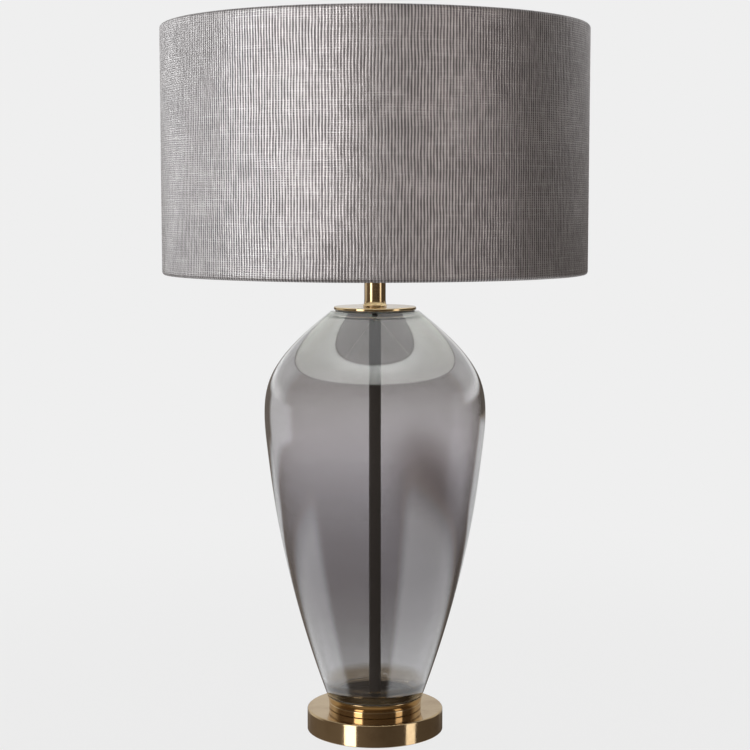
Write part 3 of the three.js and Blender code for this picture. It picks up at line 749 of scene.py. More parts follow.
def smoked_glass():
    material, nodes = new_finish("smoked_glass")
    place = nodes.node("ShaderNodeTexCoord", out="Object")
    share = (xyz(place)[2] - glass_bottom) / glass_height
    # The two lowest stops are painted shade and brass reflection at the foot, where the glass stands over
    # the cup.
    tint = nodes.node("ShaderNodeValToRGB", {"stops": [
        (0.0, (0.26, 0.20, 0.13)), (0.024, (0.36, 0.30, 0.22)), (0.044, (0.70, 0.70, 0.71)),
        (0.14, (0.60, 0.595, 0.605)), (0.24, (0.47, 0.455, 0.47)), (0.36, (0.47, 0.455, 0.475)),
        (0.56, (0.66, 0.645, 0.67)), (0.66, (0.81, 0.79, 0.81)), (0.77, (0.75, 0.735, 0.74)),
        (0.88, (0.50, 0.485, 0.48)), (1.0, (0.48, 0.47, 0.46))]},
        {"Fac": share})
    waves = noise(place, 9, 2, 0.4, (1, 1, 0.45))
    return coat_with(material, nodes, {
        "Base Color": tint,
        "Roughness": 0.0,
        "IOR": 1.48,
        "Transmission Weight": 1.0,
        "Specular IOR Level": 1.0,
        "Coat Weight": 1.0,
        "Coat Roughness": 0.0,
        "Coat IOR": 1.95,
        "Normal": bumps(waves, 0.0016),
    })


def glass_profile():
    """Up the outside, over the ground mouth, down the inside and round the thick foot."""
    shares = [step / glass_steps for step in range(glass_steps + 1)]
    outside = [(glass_outline(share), glass_bottom + share * glass_height) for share in shares]
    slopes = np.gradient([point[0] for point in outside], [point[1] for point in outside])
    inside = []
    for (radius, height), slope in zip(outside, slopes):
        level = math.hypot(1, slope)
        inside.append((radius - glass_wall / level, height + glass_wall * slope / level))
    foot_top = glass_bottom + foot_depth + foot_slope * 1.9
    lip = glass_top - mouth_depth - glass_wall * 0.6
    inside = [point for point in inside if foot_top < point[1] < lip]
    first, last = inside[0], inside[-1]
    return rounded([
        (foot_bore, glass_bottom, ground_edge),
        (outside[0][0], glass_bottom, ground_edge),
        *outside[2:-2],
        (outside[-1][0], glass_top, ground_edge),
        (mouth_bore, glass_top, ground_edge),
        (mouth_bore, glass_top - mouth_depth, ground_edge),
        (last[0] * 0.45 + mouth_bore * 0.55, last[1] * 0.3 + (glass_top - mouth_depth) * 0.7),
        *reversed(inside),
        (first[0] * 0.62 + foot_bore * 0.38, glass_bottom + foot_depth + foot_slope),
        (foot_bore, glass_bottom + foot_depth, ground_edge),
    ])


vessel = turned("blown_glass_body", glass_profile(), smoked_glass(), 256, sharp=50)
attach(vessel, "lamp_body")
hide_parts("glass_body")

# ---------------------------------------------------------------- rod sleeve and neck plug
# A thin black tube hides the threaded rod inside the glass. A clear disc in the mouth of the
# glass centres the two of them.

sleeve_radius, sleeve_bottom, sleeve_top = extent("rod_sleeve")
stands_for(turned("black_rod_sleeve", [
    (rod_hole, sleeve_bottom), (sleeve_radius, sleeve_bottom),
    (sleeve_radius, sleeve_top), (rod_hole, sleeve_top)], black_paint, 64),
    "rod_sleeve", group=dark_group)
flat_ring("clear_neck_plug", "neck_plug", rod_hole, clear_rubber, 0.0004, 128)

# ---------------------------------------------------------------- cap plate and neck tube
# A turned brass plate closes the glass over a thin clear ring. The neck above it is a brass
# tube that flares to a rim, and the rod runs up through both.

flat_ring("clear_cap_ring", "cap_gasket", mouth_bore + 0.0003, clear_rubber,
          gasket_round)

plate_radius, plate_bottom, plate_top = extent("cap_plate")
plate_edge = 0.0008
stands_for(turned("turned_cap_plate", rounded([
    (rod_hole, plate_bottom), (plate_radius, plate_bottom, plate_edge),
    (plate_radius, plate_top, plate_edge), (rod_hole, plate_top)]), brass, 192),
    "cap_plate", group=brass_group)

neck_flare, neck_bottom, neck_top = extent("neck_tube")
neck_radius = 0.01015
neck_rim = 0.001
neck_flare_height = 0.007
neck_wall = 0.0014
neck_crown = 0.0011
flare_steps = 10
flare = []
for step in range(1, flare_steps + 1):
    turn = math.pi / 2 * step / flare_steps
    flare.append((neck_flare - (neck_flare - neck_radius) * math.sin(turn),
                  neck_bottom + neck_rim + (neck_flare_height - neck_rim) * (1 - math.cos(turn))))
stands_for(turned("flared_neck_tube", rounded([
    (neck_flare - 2 * neck_wall, neck_bottom), (neck_flare, neck_bottom, lip_round),
    (neck_flare, neck_bottom + neck_rim, lip_round), *flare,
    (neck_radius, neck_top - 0.006), (neck_radius, neck_top, neck_crown),
    (rod_hole, neck_top), (rod_hole, neck_top - 2 * neck_wall),
    (neck_radius - neck_wall, neck_top - 2 * neck_wall),
    (neck_radius - neck_wall, neck_bottom + neck_flare_height)]), brass, 128),
    "neck_tube", group=brass_group)

# ---------------------------------------------------------------- harp
# The harp is one bent steel wire in two legs. They drop over the ears of a steel saddle, and
# two brass ferrules slide down to lock them. A brass stud riveted through its crown takes the shade.


def wire_tree():
    """Draws a round wire along an object's edges."""
    tree = bpy.data.node_groups.new("wire_along_a_path", "GeometryNodeTree")
    for name, kind in (("Path", "NodeSocketGeometry"), ("Wire radius", "NodeSocketFloat"),
                       ("Sides", "NodeSocketInt"), ("Finish", "NodeSocketMaterial")):
        tree.interface.new_socket(name, in_out="INPUT", socket_type=kind)
    tree.interface.new_socket("Wire", in_out="OUTPUT", socket_type="NodeSocketGeometry")
    start = Socket(tree)
    given = tree.nodes.new("NodeGroupInput")
    path, radius, sides, finish = [Socket(tree, output) for output in given.outputs][:4]
    line = start.node("GeometryNodeMeshToCurve", None, {"Mesh": path})
    section = start.node("GeometryNodeCurvePrimitiveCircle", None,
                         {"Radius": radius, "Resolution": sides})
    wire = start.node("GeometryNodeCurveToMesh", None,
                      {"Curve": line, "Profile Curve": section, "Fill Caps": True})
    wire = start.node("GeometryNodeSetShadeSmooth", None, {"Geometry": wire})
    wire = start.node("GeometryNodeRealizeInstances", None, {"Geometry": wire})
    wire = start.node("GeometryNodeSetMaterial", None, {"Geometry": wire, "Material": finish})
    start.node("NodeGroupOutput", None, {0: wire})
    return tree


def grown(piece, tree, **sizes):
    """Runs a node tree on a piece with these inputs and keeps its result as a plain mesh."""
    growth = piece.modifiers.new("growth", "NODES")
    growth.node_group = tree
    for item in tree.interface.items_tree:
        if item.in_out == "INPUT" and item.name in sizes:
            growth[item.identifier] = sizes[item.name]
    ready = piece.evaluated_get(bpy.context.evaluated_depsgraph_get())
    mesh = bpy.data.meshes.new_from_object(ready)
    piece.modifiers.remove(growth)
    piece.data = mesh
    return piece


wires = wire_tree()


def wire_piece(name, points, radius, finish, closed=False, sides=16):
    """A round wire through a row of points, its ends capped flat or joined in a ring."""
    path = bpy.data.meshes.new(name)
    edges = [(index, index + 1) for index in range(len(points) - 1)]
    if closed:
        edges.append((len(points) - 1, 0))
    path.from_pydata([tuple(point) for point in points], edges, [])
    piece = bpy.data.objects.new(name, path)
    scene.collection.objects.link(piece)
    grown(piece, wires, **{"Wire radius": radius, "Sides": sides, "Finish": finish})
    piece.data.set_sharp_from_angle(angle=math.radians(50))
    return piece


def bezier(first, handle, other_handle, last, steps=24):
    """Points along a curve, without its first one."""
    points = []
    for step in range(1, steps + 1):
        share = step / steps
        rest = 1 - share
        points.append(first * rest ** 3 + handle * (3 * rest ** 2 * share)
                      + other_handle * (3 * rest * share ** 2) + last * share ** 3)
    return points


harp_low, harp_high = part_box("harp_wire")
saddle_low, saddle_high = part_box("harp_saddle")
harp_radius = 0.0016
harp_leg = 0.0303
harp_bow = 0.056
crown_radius = 0.007
crown_thickness = 0.0042
harp_crown = harp_high.z - crown_thickness / 2
saddle_plate_top = saddle_low.z + 0.002
harp_straight = saddle_plate_top + 0.027
bow_height = saddle_plate_top + (harp_crown - saddle_plate_top) * 0.51
leg_ease = 0.025
bow_ease_below = 0.036
bow_ease_above = 0.062


def at(across, height):
    return Vector((across, 0, height))


half_harp = [at(harp_leg, harp_low.z), at(harp_leg, harp_straight)]
half_harp += bezier(half_harp[-1], at(harp_leg, harp_straight + leg_ease),
                    at(harp_bow, bow_height - bow_ease_below), at(harp_bow, bow_height))
half_harp += bezier(half_harp[-1], at(harp_bow, bow_height + bow_ease_above),
                    at(harp_bow * 0.6, harp_crown), at(crown_radius * 0.8, harp_crown))
other_half = [Vector((-point.x, 0, point.z)) for point in reversed(half_harp)]
harp = wire_piece("bent_harp_wire", half_harp + other_half, harp_radius, steel, sides=20)
crown_round = 0.0008
rivet_radius = 0.002
crown = turned("harp_crown", rounded([
    (rivet_radius + 0.0003, harp_high.z - crown_thickness),
    (crown_radius, harp_high.z - crown_thickness, crown_round),
    (crown_radius, harp_high.z, crown_round), (rivet_radius + 0.0003, harp_high.z)]), steel, 64)


def joined(name, *parts):
    """Several meshes as one piece."""
    whole = bmesh.new()
    for part in parts:
        whole.from_mesh(part.data)
    mesh = bpy.data.meshes.new(name)
    whole.to_mesh(mesh)
    whole.free()
    mesh.materials.append(parts[0].data.materials[0])
    for part in parts:
        bpy.data.objects.remove(part)
    piece = bpy.data.objects.new(name, mesh)
    scene.collection.objects.link(piece)
    return piece


stands_for(joined("steel_harp", harp, crown), "harp_wire")


def spun_brass():
    material, nodes = new_finish("bright_spun_brass")
    place = nodes.node("ShaderNodeTexCoord", out="Object")
    cloud = noise(place, 120, 4, 0.6)
    marks = turning_marks(place, 2600)
    return coat_with(material, nodes, {
        "Base Color": mixed(fade(cloud, 0.45, 0.7), (0.74, 0.53, 0.24), (0.60, 0.40, 0.17)),
        "Metallic": 1.0,
        "Roughness": 0.2 + cloud * 0.14,
        "Normal": bumps(marks, 0.000008),
    })


socket_brass = spun_brass()


def bent_strip(name, outline, half_width, finish, bevel):
    """A strip of sheet metal: a closed (across, height) outline given a width along Y."""
    count = len(outline)
    corners = [(x, side * half_width, z) for side in (-1, 1) for x, z in outline]
    faces = [tuple(range(count)), tuple(range(count, 2 * count))]
    faces += [(index, (index + 1) % count, count + (index + 1) % count, count + index)
              for index in range(count)]
    strip = piece_from(name, corners, faces, finish)
    ease = strip.modifiers.new("ease", "BEVEL")
    ease.width = bevel
    ease.segments = 3
    ready = strip.evaluated_get(bpy.context.evaluated_depsgraph_get())
    mesh = bpy.data.meshes.new_from_object(ready)
    strip.modifiers.remove(ease)
    strip.data = mesh
    return strip


ear_outer = saddle_high.x
ear_thickness = 0.0015
ear_half = 0.0025
saddle_half = saddle_high.y
plate_line = saddle_low.z
ear_round = 0.003
saddle_plate = bent_strip("saddle_plate", [
    (-ear_outer, plate_line), (ear_outer, plate_line),
    (ear_outer, saddle_plate_top), (-ear_outer, saddle_plate_top)], saddle_half, steel, 0.0004)
saddle_drill = turned("saddle_drill", [
    (0, plate_line - ear_round), (rod_hole, plate_line - ear_round),
    (rod_hole, saddle_plate_top + ear_round), (0, saddle_plate_top + ear_round)], steel, 48)
saddle_plate = bored(saddle_plate, saddle_drill)
ears = [bent_strip(f"saddle_ear_{side}", [
    (side * (ear_outer - ear_thickness), plate_line + 0.0005), (side * ear_outer, plate_line + 0.0005),
    (side * ear_outer, saddle_high.z), (side * (ear_outer - ear_thickness), saddle_high.z)],
    ear_half, steel, 0.0004) for side in (-1, 1)]
stands_for(joined("steel_saddle", saddle_plate, *ears), "harp_saddle")

for side in ("left", "right"):
    low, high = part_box(f"harp_ferrule_{side}")
    ferrule_axis = (low.x + high.x) / 2
    ferrule_outer = -low.y
    ferrule_wall = 0.0008
    ferrule_bead = 0.00035
    ferrule = turned(f"brass_ferrule_{side}", rounded([
        (ferrule_outer - ferrule_wall, low.z, 0.0002), (ferrule_outer, low.z, ferrule_bead),
        (ferrule_outer, high.z, ferrule_bead), (ferrule_outer - ferrule_wall, high.z, 0.0002)]),
        socket_brass, 48)
    ferrule.data.transform(Matrix.Translation((ferrule_axis, 0, 0)))
    stands_for(ferrule, f"harp_ferrule_{side}", f"ferrule_{side}")

stud_flange, stud_bottom, stud_top = extent("harp_stud")
stud_radius = 0.0031
stud_flange_bottom = harp_high.z + 0.0003
stud_flange_top = stud_flange_bottom + 0.0015
rivet_head = 0.0036
rivet_head_top = harp_high.z - crown_thickness - 0.0003
stud_tip = 0.0008
stud_pitch = 0.00094
stud_thread_depth = 0.0003
stud_steps = 54
stud_thread = thread(stud_pitch, stud_thread_depth)
stud_rows = [(stud_radius,
              stud_flange_top + (stud_top - stud_tip - stud_flange_top) * step / stud_steps)
             for step in range(stud_steps + 1)]
stands_for(turned("threaded_brass_stud", [
    *rounded([(0, stud_bottom), (rivet_head, stud_bottom, 0.0009), (rivet_head, rivet_head_top, 0.0003),
              (rivet_radius, rivet_head_top), (rivet_radius, stud_flange_bottom),
              (stud_flange, stud_flange_bottom, 0.0003), (stud_flange, stud_flange_top, 0.0003)]),
    *stud_rows, (stud_radius - stud_tip, stud_top), (0, stud_top)], socket_brass, 48,
    lambda angle, radius, height: stud_thread(angle, radius, height)
    if height > stud_flange_top and abs(radius - stud_radius) < 1e-6 else radius, 50),
    "harp_stud")

# ---------------------------------------------------------------- lampholder
# A spun brass cap and shell in two halves hold a moulded switch body, a fibre liner and the
# screw shell with its centre contact. A fluted black knob in the front turns the lamp on.

cap_radius, cap_bottom, cap_top = extent("socket_cap")
cap_hub = 0.008
cap_hub_height = 0.006
cap_wall = 0.0008
cap_inside = cap_radius - cap_wall
cap_step = cap_top - 0.004
screw_low, screw_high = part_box("set_screw")
set_screw_height = (screw_low.z + screw_high.z) / 2
cap = turned("spun_socket_cap", rounded([
    (rod_hole, cap_bottom), (cap_hub, cap_bottom, 0.0004), (cap_hub, cap_bottom + 0.005, 0.0006),
    (cap_inside * 0.7, cap_bottom + cap_hub_height + 0.0014, 0.004),
    (cap_inside * 0.97, cap_step - 0.0024, 0.002),
    (cap_radius, cap_step, 0.0004), (cap_radius, cap_top, 0.0003),
    (cap_inside, cap_top), (cap_inside, cap_step), (cap_inside * 0.93, cap_step - 0.0016),
    (cap_inside * 0.66, cap_bottom + cap_hub_height + 0.0022),
    (rod_hole + 0.0016, cap_bottom + cap_hub_height), (rod_hole, cap_bottom + cap_hub_height)]),
    socket_brass, 128)
set_screw_hole = 0.0018
cap_drill = laid_along(turned("cap_drill", [
    (0, 0), (set_screw_hole, 0), (set_screw_hole, cap_hub * 1.3), (0, cap_hub * 1.3)], steel, 32),
    90, set_screw_height)
stands_for(bored(cap, cap_drill), "socket_cap")

set_screw_radius = 0.0015
set_screw_head = screw_high.y - 0.0015
screw_slot = 0.00035
set_screw = laid_along(turned("set_screw_body", rounded([
    (0, screw_low.y), (set_screw_radius, screw_low.y, 0.0003), (set_screw_radius, set_screw_head),
    (screw_high.x, set_screw_head, 0.0002), (screw_high.x, screw_high.y, 0.0006),
    (0, screw_high.y)], 4), steel, 48), 90, set_screw_height)


def slot_cutter(name, centre, half_sizes):
    """A block the size of a screwdriver slot."""
    low = [middle - half for middle, half in zip(centre, half_sizes)]
    high = [middle + half for middle, half in zip(centre, half_sizes)]
    return block_cutter(name, low, high)


set_screw = bored(set_screw, slot_cutter(
    "set_screw_slot", (0, screw_high.y, set_screw_height), (0.004, 0.0006, screw_slot)))
stands_for(set_screw, "set_screw")

socket_radius, socket_bottom, socket_top = extent("socket_shell")
knob_low, knob_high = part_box("switch_knob")
knob_axis = (knob_low.z + knob_high.z) / 2
knob_hole = 0.0023
socket_wall = 0.0006
shell_bead = 0.0007
bead_rows = [(socket_radius - shell_bead * (1 - math.cos(step / 8 * 2 * math.pi)) / 2,
              socket_top - 0.009 - 0.003 * step / 8) for step in range(8, -1, -1)]
holder = turned("spun_socket_shell", [
    (socket_radius - socket_wall, socket_bottom), (socket_radius, socket_bottom), *bead_rows,
    *rounded([(socket_radius, socket_top, 0.0003), (socket_radius - socket_wall, socket_top, 0.0002),
              (socket_radius - socket_wall, socket_bottom)])[:-1]], socket_brass, 128)


knob_drill_start, knob_drill_end = 0.013, 0.02


def knob_drill():
    """A cutter for the hole that the knob's shaft goes in by."""
    return laid_along(turned("knob_drill", [
        (0, knob_drill_start), (knob_hole, knob_drill_start), (knob_hole, knob_drill_end),
        (0, knob_drill_end)], steel, 32), -90, knob_axis)


stands_for(bored(holder, knob_drill()), "socket_shell")


def pressed_fibre():
    material, nodes = new_finish("pressed_fibre_board")
    place = nodes.node("ShaderNodeTexCoord", out="Object")
    strands = noise(place, 420, 4, 0.6, (1, 1, 0.2))
    return coat_with(material, nodes, {
        "Base Color": mixed(strands, (0.16, 0.105, 0.055), (0.36, 0.27, 0.17)),
        "Roughness": 0.7 + strands * 0.2,
        "Normal": bumps(strands, 0.00008),
    })


liner_radius, liner_bottom, liner_top = extent("socket_liner")
liner_wall = 0.0005
liner = turned("fibre_liner", rounded([
    (liner_radius - liner_wall, liner_bottom), (liner_radius, liner_bottom),
    (liner_radius, liner_top), (liner_radius - liner_wall, liner_top)]), pressed_fibre(), 128)
stands_for(bored(liner, knob_drill()), "socket_liner")

body_flange, body_bottom, body_top = extent("socket_body")
terminal_low, terminal_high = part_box("terminal_screw_live")
terminal_height = (terminal_low.z + terminal_high.z) / 2
body_radius = terminal_high.x - 0.0021
body = turned("moulded_switch_body", rounded([
    (0, body_bottom), (body_radius, body_bottom, 0.0006), (body_radius, body_top - 0.004, 0.0004),
    (body_flange, body_top - 0.004, 0.0003), (body_flange, body_top, 0.0004), (0, body_top)]),
    plastic, 96)
terminal_bore, terminal_bore_depth = 0.0018, 0.0048
shaft_bore, shaft_bore_depth = 0.002, 0.0053
drill_overrun = 0.002
for name, turn, height, bore, depth in (
        ("terminal_drill", 0, terminal_height, terminal_bore, terminal_bore_depth),
        ("terminal_drill", 180, terminal_height, terminal_bore, terminal_bore_depth),
        ("shaft_drill", -90, knob_axis, shaft_bore, shaft_bore_depth)):
    body = bored(body, laid_along(turned(name, [
        (0, body_radius - depth), (bore, body_radius - depth), (bore, body_radius + drill_overrun),
        (0, body_radius + drill_overrun)], steel, 32), turn, height))
stands_for(body, "socket_body")

for label, turn in (("live", 0), ("neutral", 180)):
    outwards = 1 if turn == 0 else -1
    screw = laid_along(turned(f"{label}_terminal", rounded([
        (0, terminal_low.x), (0.0015, terminal_low.x, 0.0002), (0.0015, body_radius + 0.0003),
        (0.0025, body_radius + 0.0003, 0.0002), (0.0025, terminal_high.x, 0.0006),
        (0, terminal_high.x)], 4), socket_brass, 48), turn, terminal_height)
    screw = bored(screw, slot_cutter(f"{label}_slot", (outwards * terminal_high.x, 0, terminal_height),
                                     (0.0007, 0.004, screw_slot)))
    stands_for(screw, f"terminal_screw_{label}")

shell_low, shell_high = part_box("screw_shell")
bulb_pitch = 0.00363
thread_depth = 0.0007
screw_inner = 0.0136
screw_sheet = 0.00045
contact_clear = 0.0088
rows_per_turn = 8


def rolled_thread(angle, height, start, end):
    """How far a rolled thread stands out, from 0 to 1, dying away at both its ends."""
    wave = 0.5 + 0.5 * np.cos(angle - 2 * math.pi * height / bulb_pitch)
    return wave * min(1, max(0, (height - start) / bulb_pitch), max(0, (end - height) / bulb_pitch))


def screw_rows(radius, start, end):
    count = round((end - start) / bulb_pitch * rows_per_turn)
    return [(radius, start + (end - start) * step / count) for step in range(count + 1)]


screw_bottom, screw_top = shell_low.z, shell_high.z
outer_rows = screw_rows(screw_inner + screw_sheet, screw_bottom, screw_top)
inner_rows = screw_rows(screw_inner, screw_bottom + screw_sheet, screw_top)
stands_for(turned("rolled_screw_shell", [
    (contact_clear, screw_bottom), *outer_rows, *reversed(inner_rows),
    (contact_clear, screw_bottom + screw_sheet)], socket_brass, 64,
    lambda angle, radius, height: radius if radius < screw_inner - 1e-6 else radius + thread_depth
    * rolled_thread(angle, height, screw_bottom + 0.001, screw_top - 0.001), 60),
    "screw_shell")

contact_low, contact_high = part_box("centre_contact")
contact_half = contact_high.x
contact_sheet = 0.0005
contact_foot = contact_low.z
contact_spring = contact_high.z
stands_for(bent_strip("sprung_centre_contact", [
    (-contact_half, contact_foot), (-contact_half * 0.6, contact_foot),
    (-contact_half * 0.25, contact_spring - contact_sheet),
    (contact_half * 0.25, contact_spring - contact_sheet),
    (contact_half * 0.6, contact_foot), (contact_half, contact_foot),
    (contact_half, contact_foot + contact_sheet), (contact_half * 0.7, contact_foot + contact_sheet),
    (contact_half * 0.3, contact_spring), (-contact_half * 0.3, contact_spring),
    (-contact_half * 0.7, contact_foot + contact_sheet),
    (-contact_half, contact_foot + contact_sheet)], contact_high.y, socket_brass, 0.00012),
    "centre_contact")

knob_radius = 0.0055
knob_length = 0.014
knob_shaft = 0.0017
knob_end = -knob_low.y
knob_start = -knob_high.y
flute_count = 18
flute_depth = 0.00045
knob_dish = 0.0003
knob_skirt, knob_grip = 0.003, 0.0085
grip_steps = 8


def fluted(angle, radius, height):
    """Grip flutes along the knob's side, cut wherever its profile is at least three quarters of the
    knob's full radius.
    """
    if radius < knob_radius * 0.75:
        return radius
    return radius - flute_depth * (0.5 + 0.5 * np.cos(flute_count * angle)) ** 2


knob_rows = [(knob_radius, knob_end - knob_length + knob_skirt + knob_grip * step / grip_steps)
             for step in range(grip_steps + 1)]
stands_for(laid_along(turned("fluted_switch_knob", [
    (0, knob_start), (knob_shaft, knob_start), (knob_shaft, knob_end - knob_length),
    (knob_radius * 0.5, knob_end - knob_length), (knob_radius * 0.8, knob_end - knob_length + 0.0006),
    *knob_rows, *rounded([(knob_radius, knob_end, 0.0016), (knob_radius * 0.5, knob_end),
                          (knob_radius * 0.45, knob_end - knob_dish), (0, knob_end - knob_dish)])],
    plastic, 144, fluted, 30), -90, knob_axis),
    "switch_knob", "switch_knob")

# ---------------------------------------------------------------- bulb
# An opal glass bulb with a rolled metal screw cap, a glassy black insulator and a soldered
# eyelet at its tip.

eyelet_radius, eyelet_bottom, eyelet_top = extent("bulb_eyelet")
stands_for(turned("soldered_eyelet", rounded([
    (0, eyelet_bottom), (eyelet_radius * 0.55, eyelet_bottom, 0.0006),
    (eyelet_radius, eyelet_top - 0.0004, 0.0003), (eyelet_radius, eyelet_top), (0, eyelet_top)]),
    steel, 64), "bulb_eyelet", "bulb")
insulator_radius, insulator_bottom, insulator_top = extent("bulb_insulator")
stands_for(turned("glass_insulator", rounded([
    (0, insulator_bottom), (eyelet_radius, insulator_bottom, 0.0005),
    (insulator_radius, insulator_top, 0.0003), (0, insulator_top)]), plastic, 64),
    "bulb_insulator", "bulb")

bulb_cap_radius, bulb_cap_bottom, bulb_cap_top = extent("bulb_cap")
bulb_cap_wall = 0.0004
bulb_cap_floor = 0.0015
bulb_cap_rim = bulb_cap_radius - 0.0013
cap_rows = screw_rows(bulb_cap_radius - thread_depth, bulb_cap_bottom + 0.0008, bulb_cap_top - 0.0012)
stands_for(turned("rolled_bulb_cap", [
    (0, bulb_cap_bottom), (insulator_radius + bulb_cap_wall, bulb_cap_bottom), *cap_rows,
    (bulb_cap_radius, bulb_cap_top - 0.0007), (bulb_cap_radius, bulb_cap_top),
    (bulb_cap_rim, bulb_cap_top),
    (bulb_cap_rim, bulb_cap_bottom + bulb_cap_floor), (0, bulb_cap_bottom + bulb_cap_floor)],
    steel, 64, lambda angle, radius, height: radius + thread_depth * rolled_thread(
        angle, height, bulb_cap_bottom + 0.001, bulb_cap_top - 0.0015)
    if abs(radius - bulb_cap_radius + thread_depth) < 1e-7 else radius, 60),
    "bulb_cap", "bulb")


def opal_glass():
    material, nodes = new_finish("opal_glass")
    place = nodes.node("ShaderNodeTexCoord", out="Object")
    cloud = noise(place, 60, 3)
    return coat_with(material, nodes, {
        "Base Color": mixed(cloud, (0.80, 0.79, 0.76), (0.88, 0.87, 0.84)),
        "Roughness": 0.16 + cloud * 0.1,
        "Subsurface Weight": 0.3,
        "Subsurface Scale": 0.002,
        "Coat Weight": 0.5,
    })


bulb_radius, bulb_bottom, bulb_top = extent("bulb_glass")
bulb_ball = bulb_top - bulb_radius
bulb_neck = bulb_cap_rim - 0.0003
bulb_wall = 0.001
bulb_cap_line = bulb_cap_top + 0.004
ball_start = math.radians(-32)
joint = Vector((bulb_radius * math.cos(ball_start), bulb_ball + bulb_radius * math.sin(ball_start)))
slope = Vector((-math.sin(ball_start), math.cos(ball_start)))
neck_foot = Vector((bulb_neck + 0.0003, bulb_cap_line))
swell = bezier(neck_foot, neck_foot + Vector((0, 0.012)), joint - slope * 0.012, joint, 16)
ball = [(bulb_radius * math.cos(angle), bulb_ball + bulb_radius * math.sin(angle))
        for angle in np.linspace(ball_start, math.pi / 2, 40)[1:-1]]
bulb_outside = [(bulb_neck, bulb_bottom), (bulb_neck, bulb_cap_top), tuple(neck_foot),
                *[tuple(point) for point in swell], *ball]
bulb_inside = [(radius * (1 - bulb_wall / bulb_radius), height - bulb_wall * 0.5)
               for radius, height in reversed(bulb_outside[1:])]
stands_for(turned("opal_bulb", [
    (0, bulb_top), *reversed(bulb_outside), (bulb_neck - bulb_wall, bulb_bottom),
    *reversed(bulb_inside), (0, bulb_top - bulb_wall)], opal_glass(), 96),
    "bulb_glass", "bulb")

# ---------------------------------------------------------------- shade
# Two white-enamelled wire rings stretch a drum of grey metallic weave on a white lining. Three
# arms run in from the top ring to a hub that drops over the harp's stud.


def white_enamel():
    material, nodes = new_finish("white_enamel")
    place = nodes.node("ShaderNodeTexCoord", out="Object")
    peel = noise(place, 420, 3)
    return coat_with(material, nodes, {
        "Base Color": mixed(peel, (0.70, 0.70, 0.68), (0.80, 0.80, 0.78)),
        "Roughness": 0.28 + peel * 0.14,
        "Normal": bumps(peel, 0.00004),
    })


enamel = white_enamel()
shade_radius = extent("shade_fabric")[0]
ring_wire = 0.0015
ring_radius = extent("shade_top_ring")[0] - ring_wire
ring_points = 180
for node in ("shade_top_ring", "shade_bottom_ring"):
    low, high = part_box(node)
    height = (low.z + high.z) / 2
    circle = [Vector((ring_radius * math.cos(turn), ring_radius * math.sin(turn), height))
              for turn in np.linspace(0, 2 * math.pi, ring_points, endpoint=False)]
    stands_for(wire_piece(f"enamelled_{node[6:]}", circle, ring_wire, enamel, True, 12),
               node, "shade")

hub_radius, hub_bottom, hub_top = extent("spider_hub")
hub_bore = 0.0034
hub_round = 0.0005
stands_for(turned("pressed_spider_hub", rounded([
    (hub_bore, hub_bottom, hub_round / 2), (hub_radius, hub_bottom, hub_round),
    (hub_radius, hub_top, hub_round), (hub_bore, hub_top, hub_round / 2)]), enamel, 96),
    "spider_hub", "shade")

arm_wire = 0.0016
hub_middle = (hub_bottom + hub_top) / 2
arm_start = hub_radius + 0.0003
arm_end = ring_radius - ring_wire - arm_wire
arm_bend = 0.014
arm_run = 0.03
arm_top = (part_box("shade_top_ring")[0].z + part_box("shade_top_ring")[1].z) / 2
arm_turns = [5 + (arm - 0.25) * 120 for arm in range(3)]
for arm, turn in enumerate(arm_turns, 1):
    out = Vector((math.cos(math.radians(turn)), math.sin(math.radians(turn)), 0))
    level = Vector((0, 0, hub_middle))
    knee = arm_end - arm_bend
    tip = out * arm_end + Vector((0, 0, arm_top))
    first = out * (knee - arm_run) + level
    corner = out * knee + level
    points = [out * arm_start + level, out * (arm_start * 3) + level, first]
    points += bezier(first, first + (corner - first) * 2 / 3, tip + (corner - tip) * 2 / 3, tip, 16)
    stands_for(wire_piece(f"enamelled_arm_{arm}", points, arm_wire, enamel),
               f"spider_arm_{arm}", "shade")


def white_lining():
    material, nodes = new_finish("white_laminate")
    place = nodes.node("ShaderNodeTexCoord", out="Object")
    mottle = noise(place, 240, 4, 0.6)
    shine = noise(place, 30, 2, 0.5, (1, 1, 0.4))
    return coat_with(material, nodes, {
        "Base Color": mixed(mottle, (0.78, 0.77, 0.73), (0.86, 0.85, 0.82)),
        "Roughness": 0.42 + shine * 0.15,
        "Normal": bumps(mottle, 0.00005),
    })


lining_radius, lining_bottom, lining_top = extent("shade_lining")
lining_skin = 0.0005
stands_for(turned("laminated_lining", [
    (lining_radius - lining_skin, lining_bottom), (lining_radius, lining_bottom),
    (lining_radius, lining_top), (lining_radius - lining_skin, lining_top)], white_lining(), 256),
    "shade_lining", "shade", lining_group)

# The cloth is one strip of a rib weave, heavy warp threads standing up the drum and finer weft
# round it. It is rolled over both wire rings and its ends lap at the back of the drum.


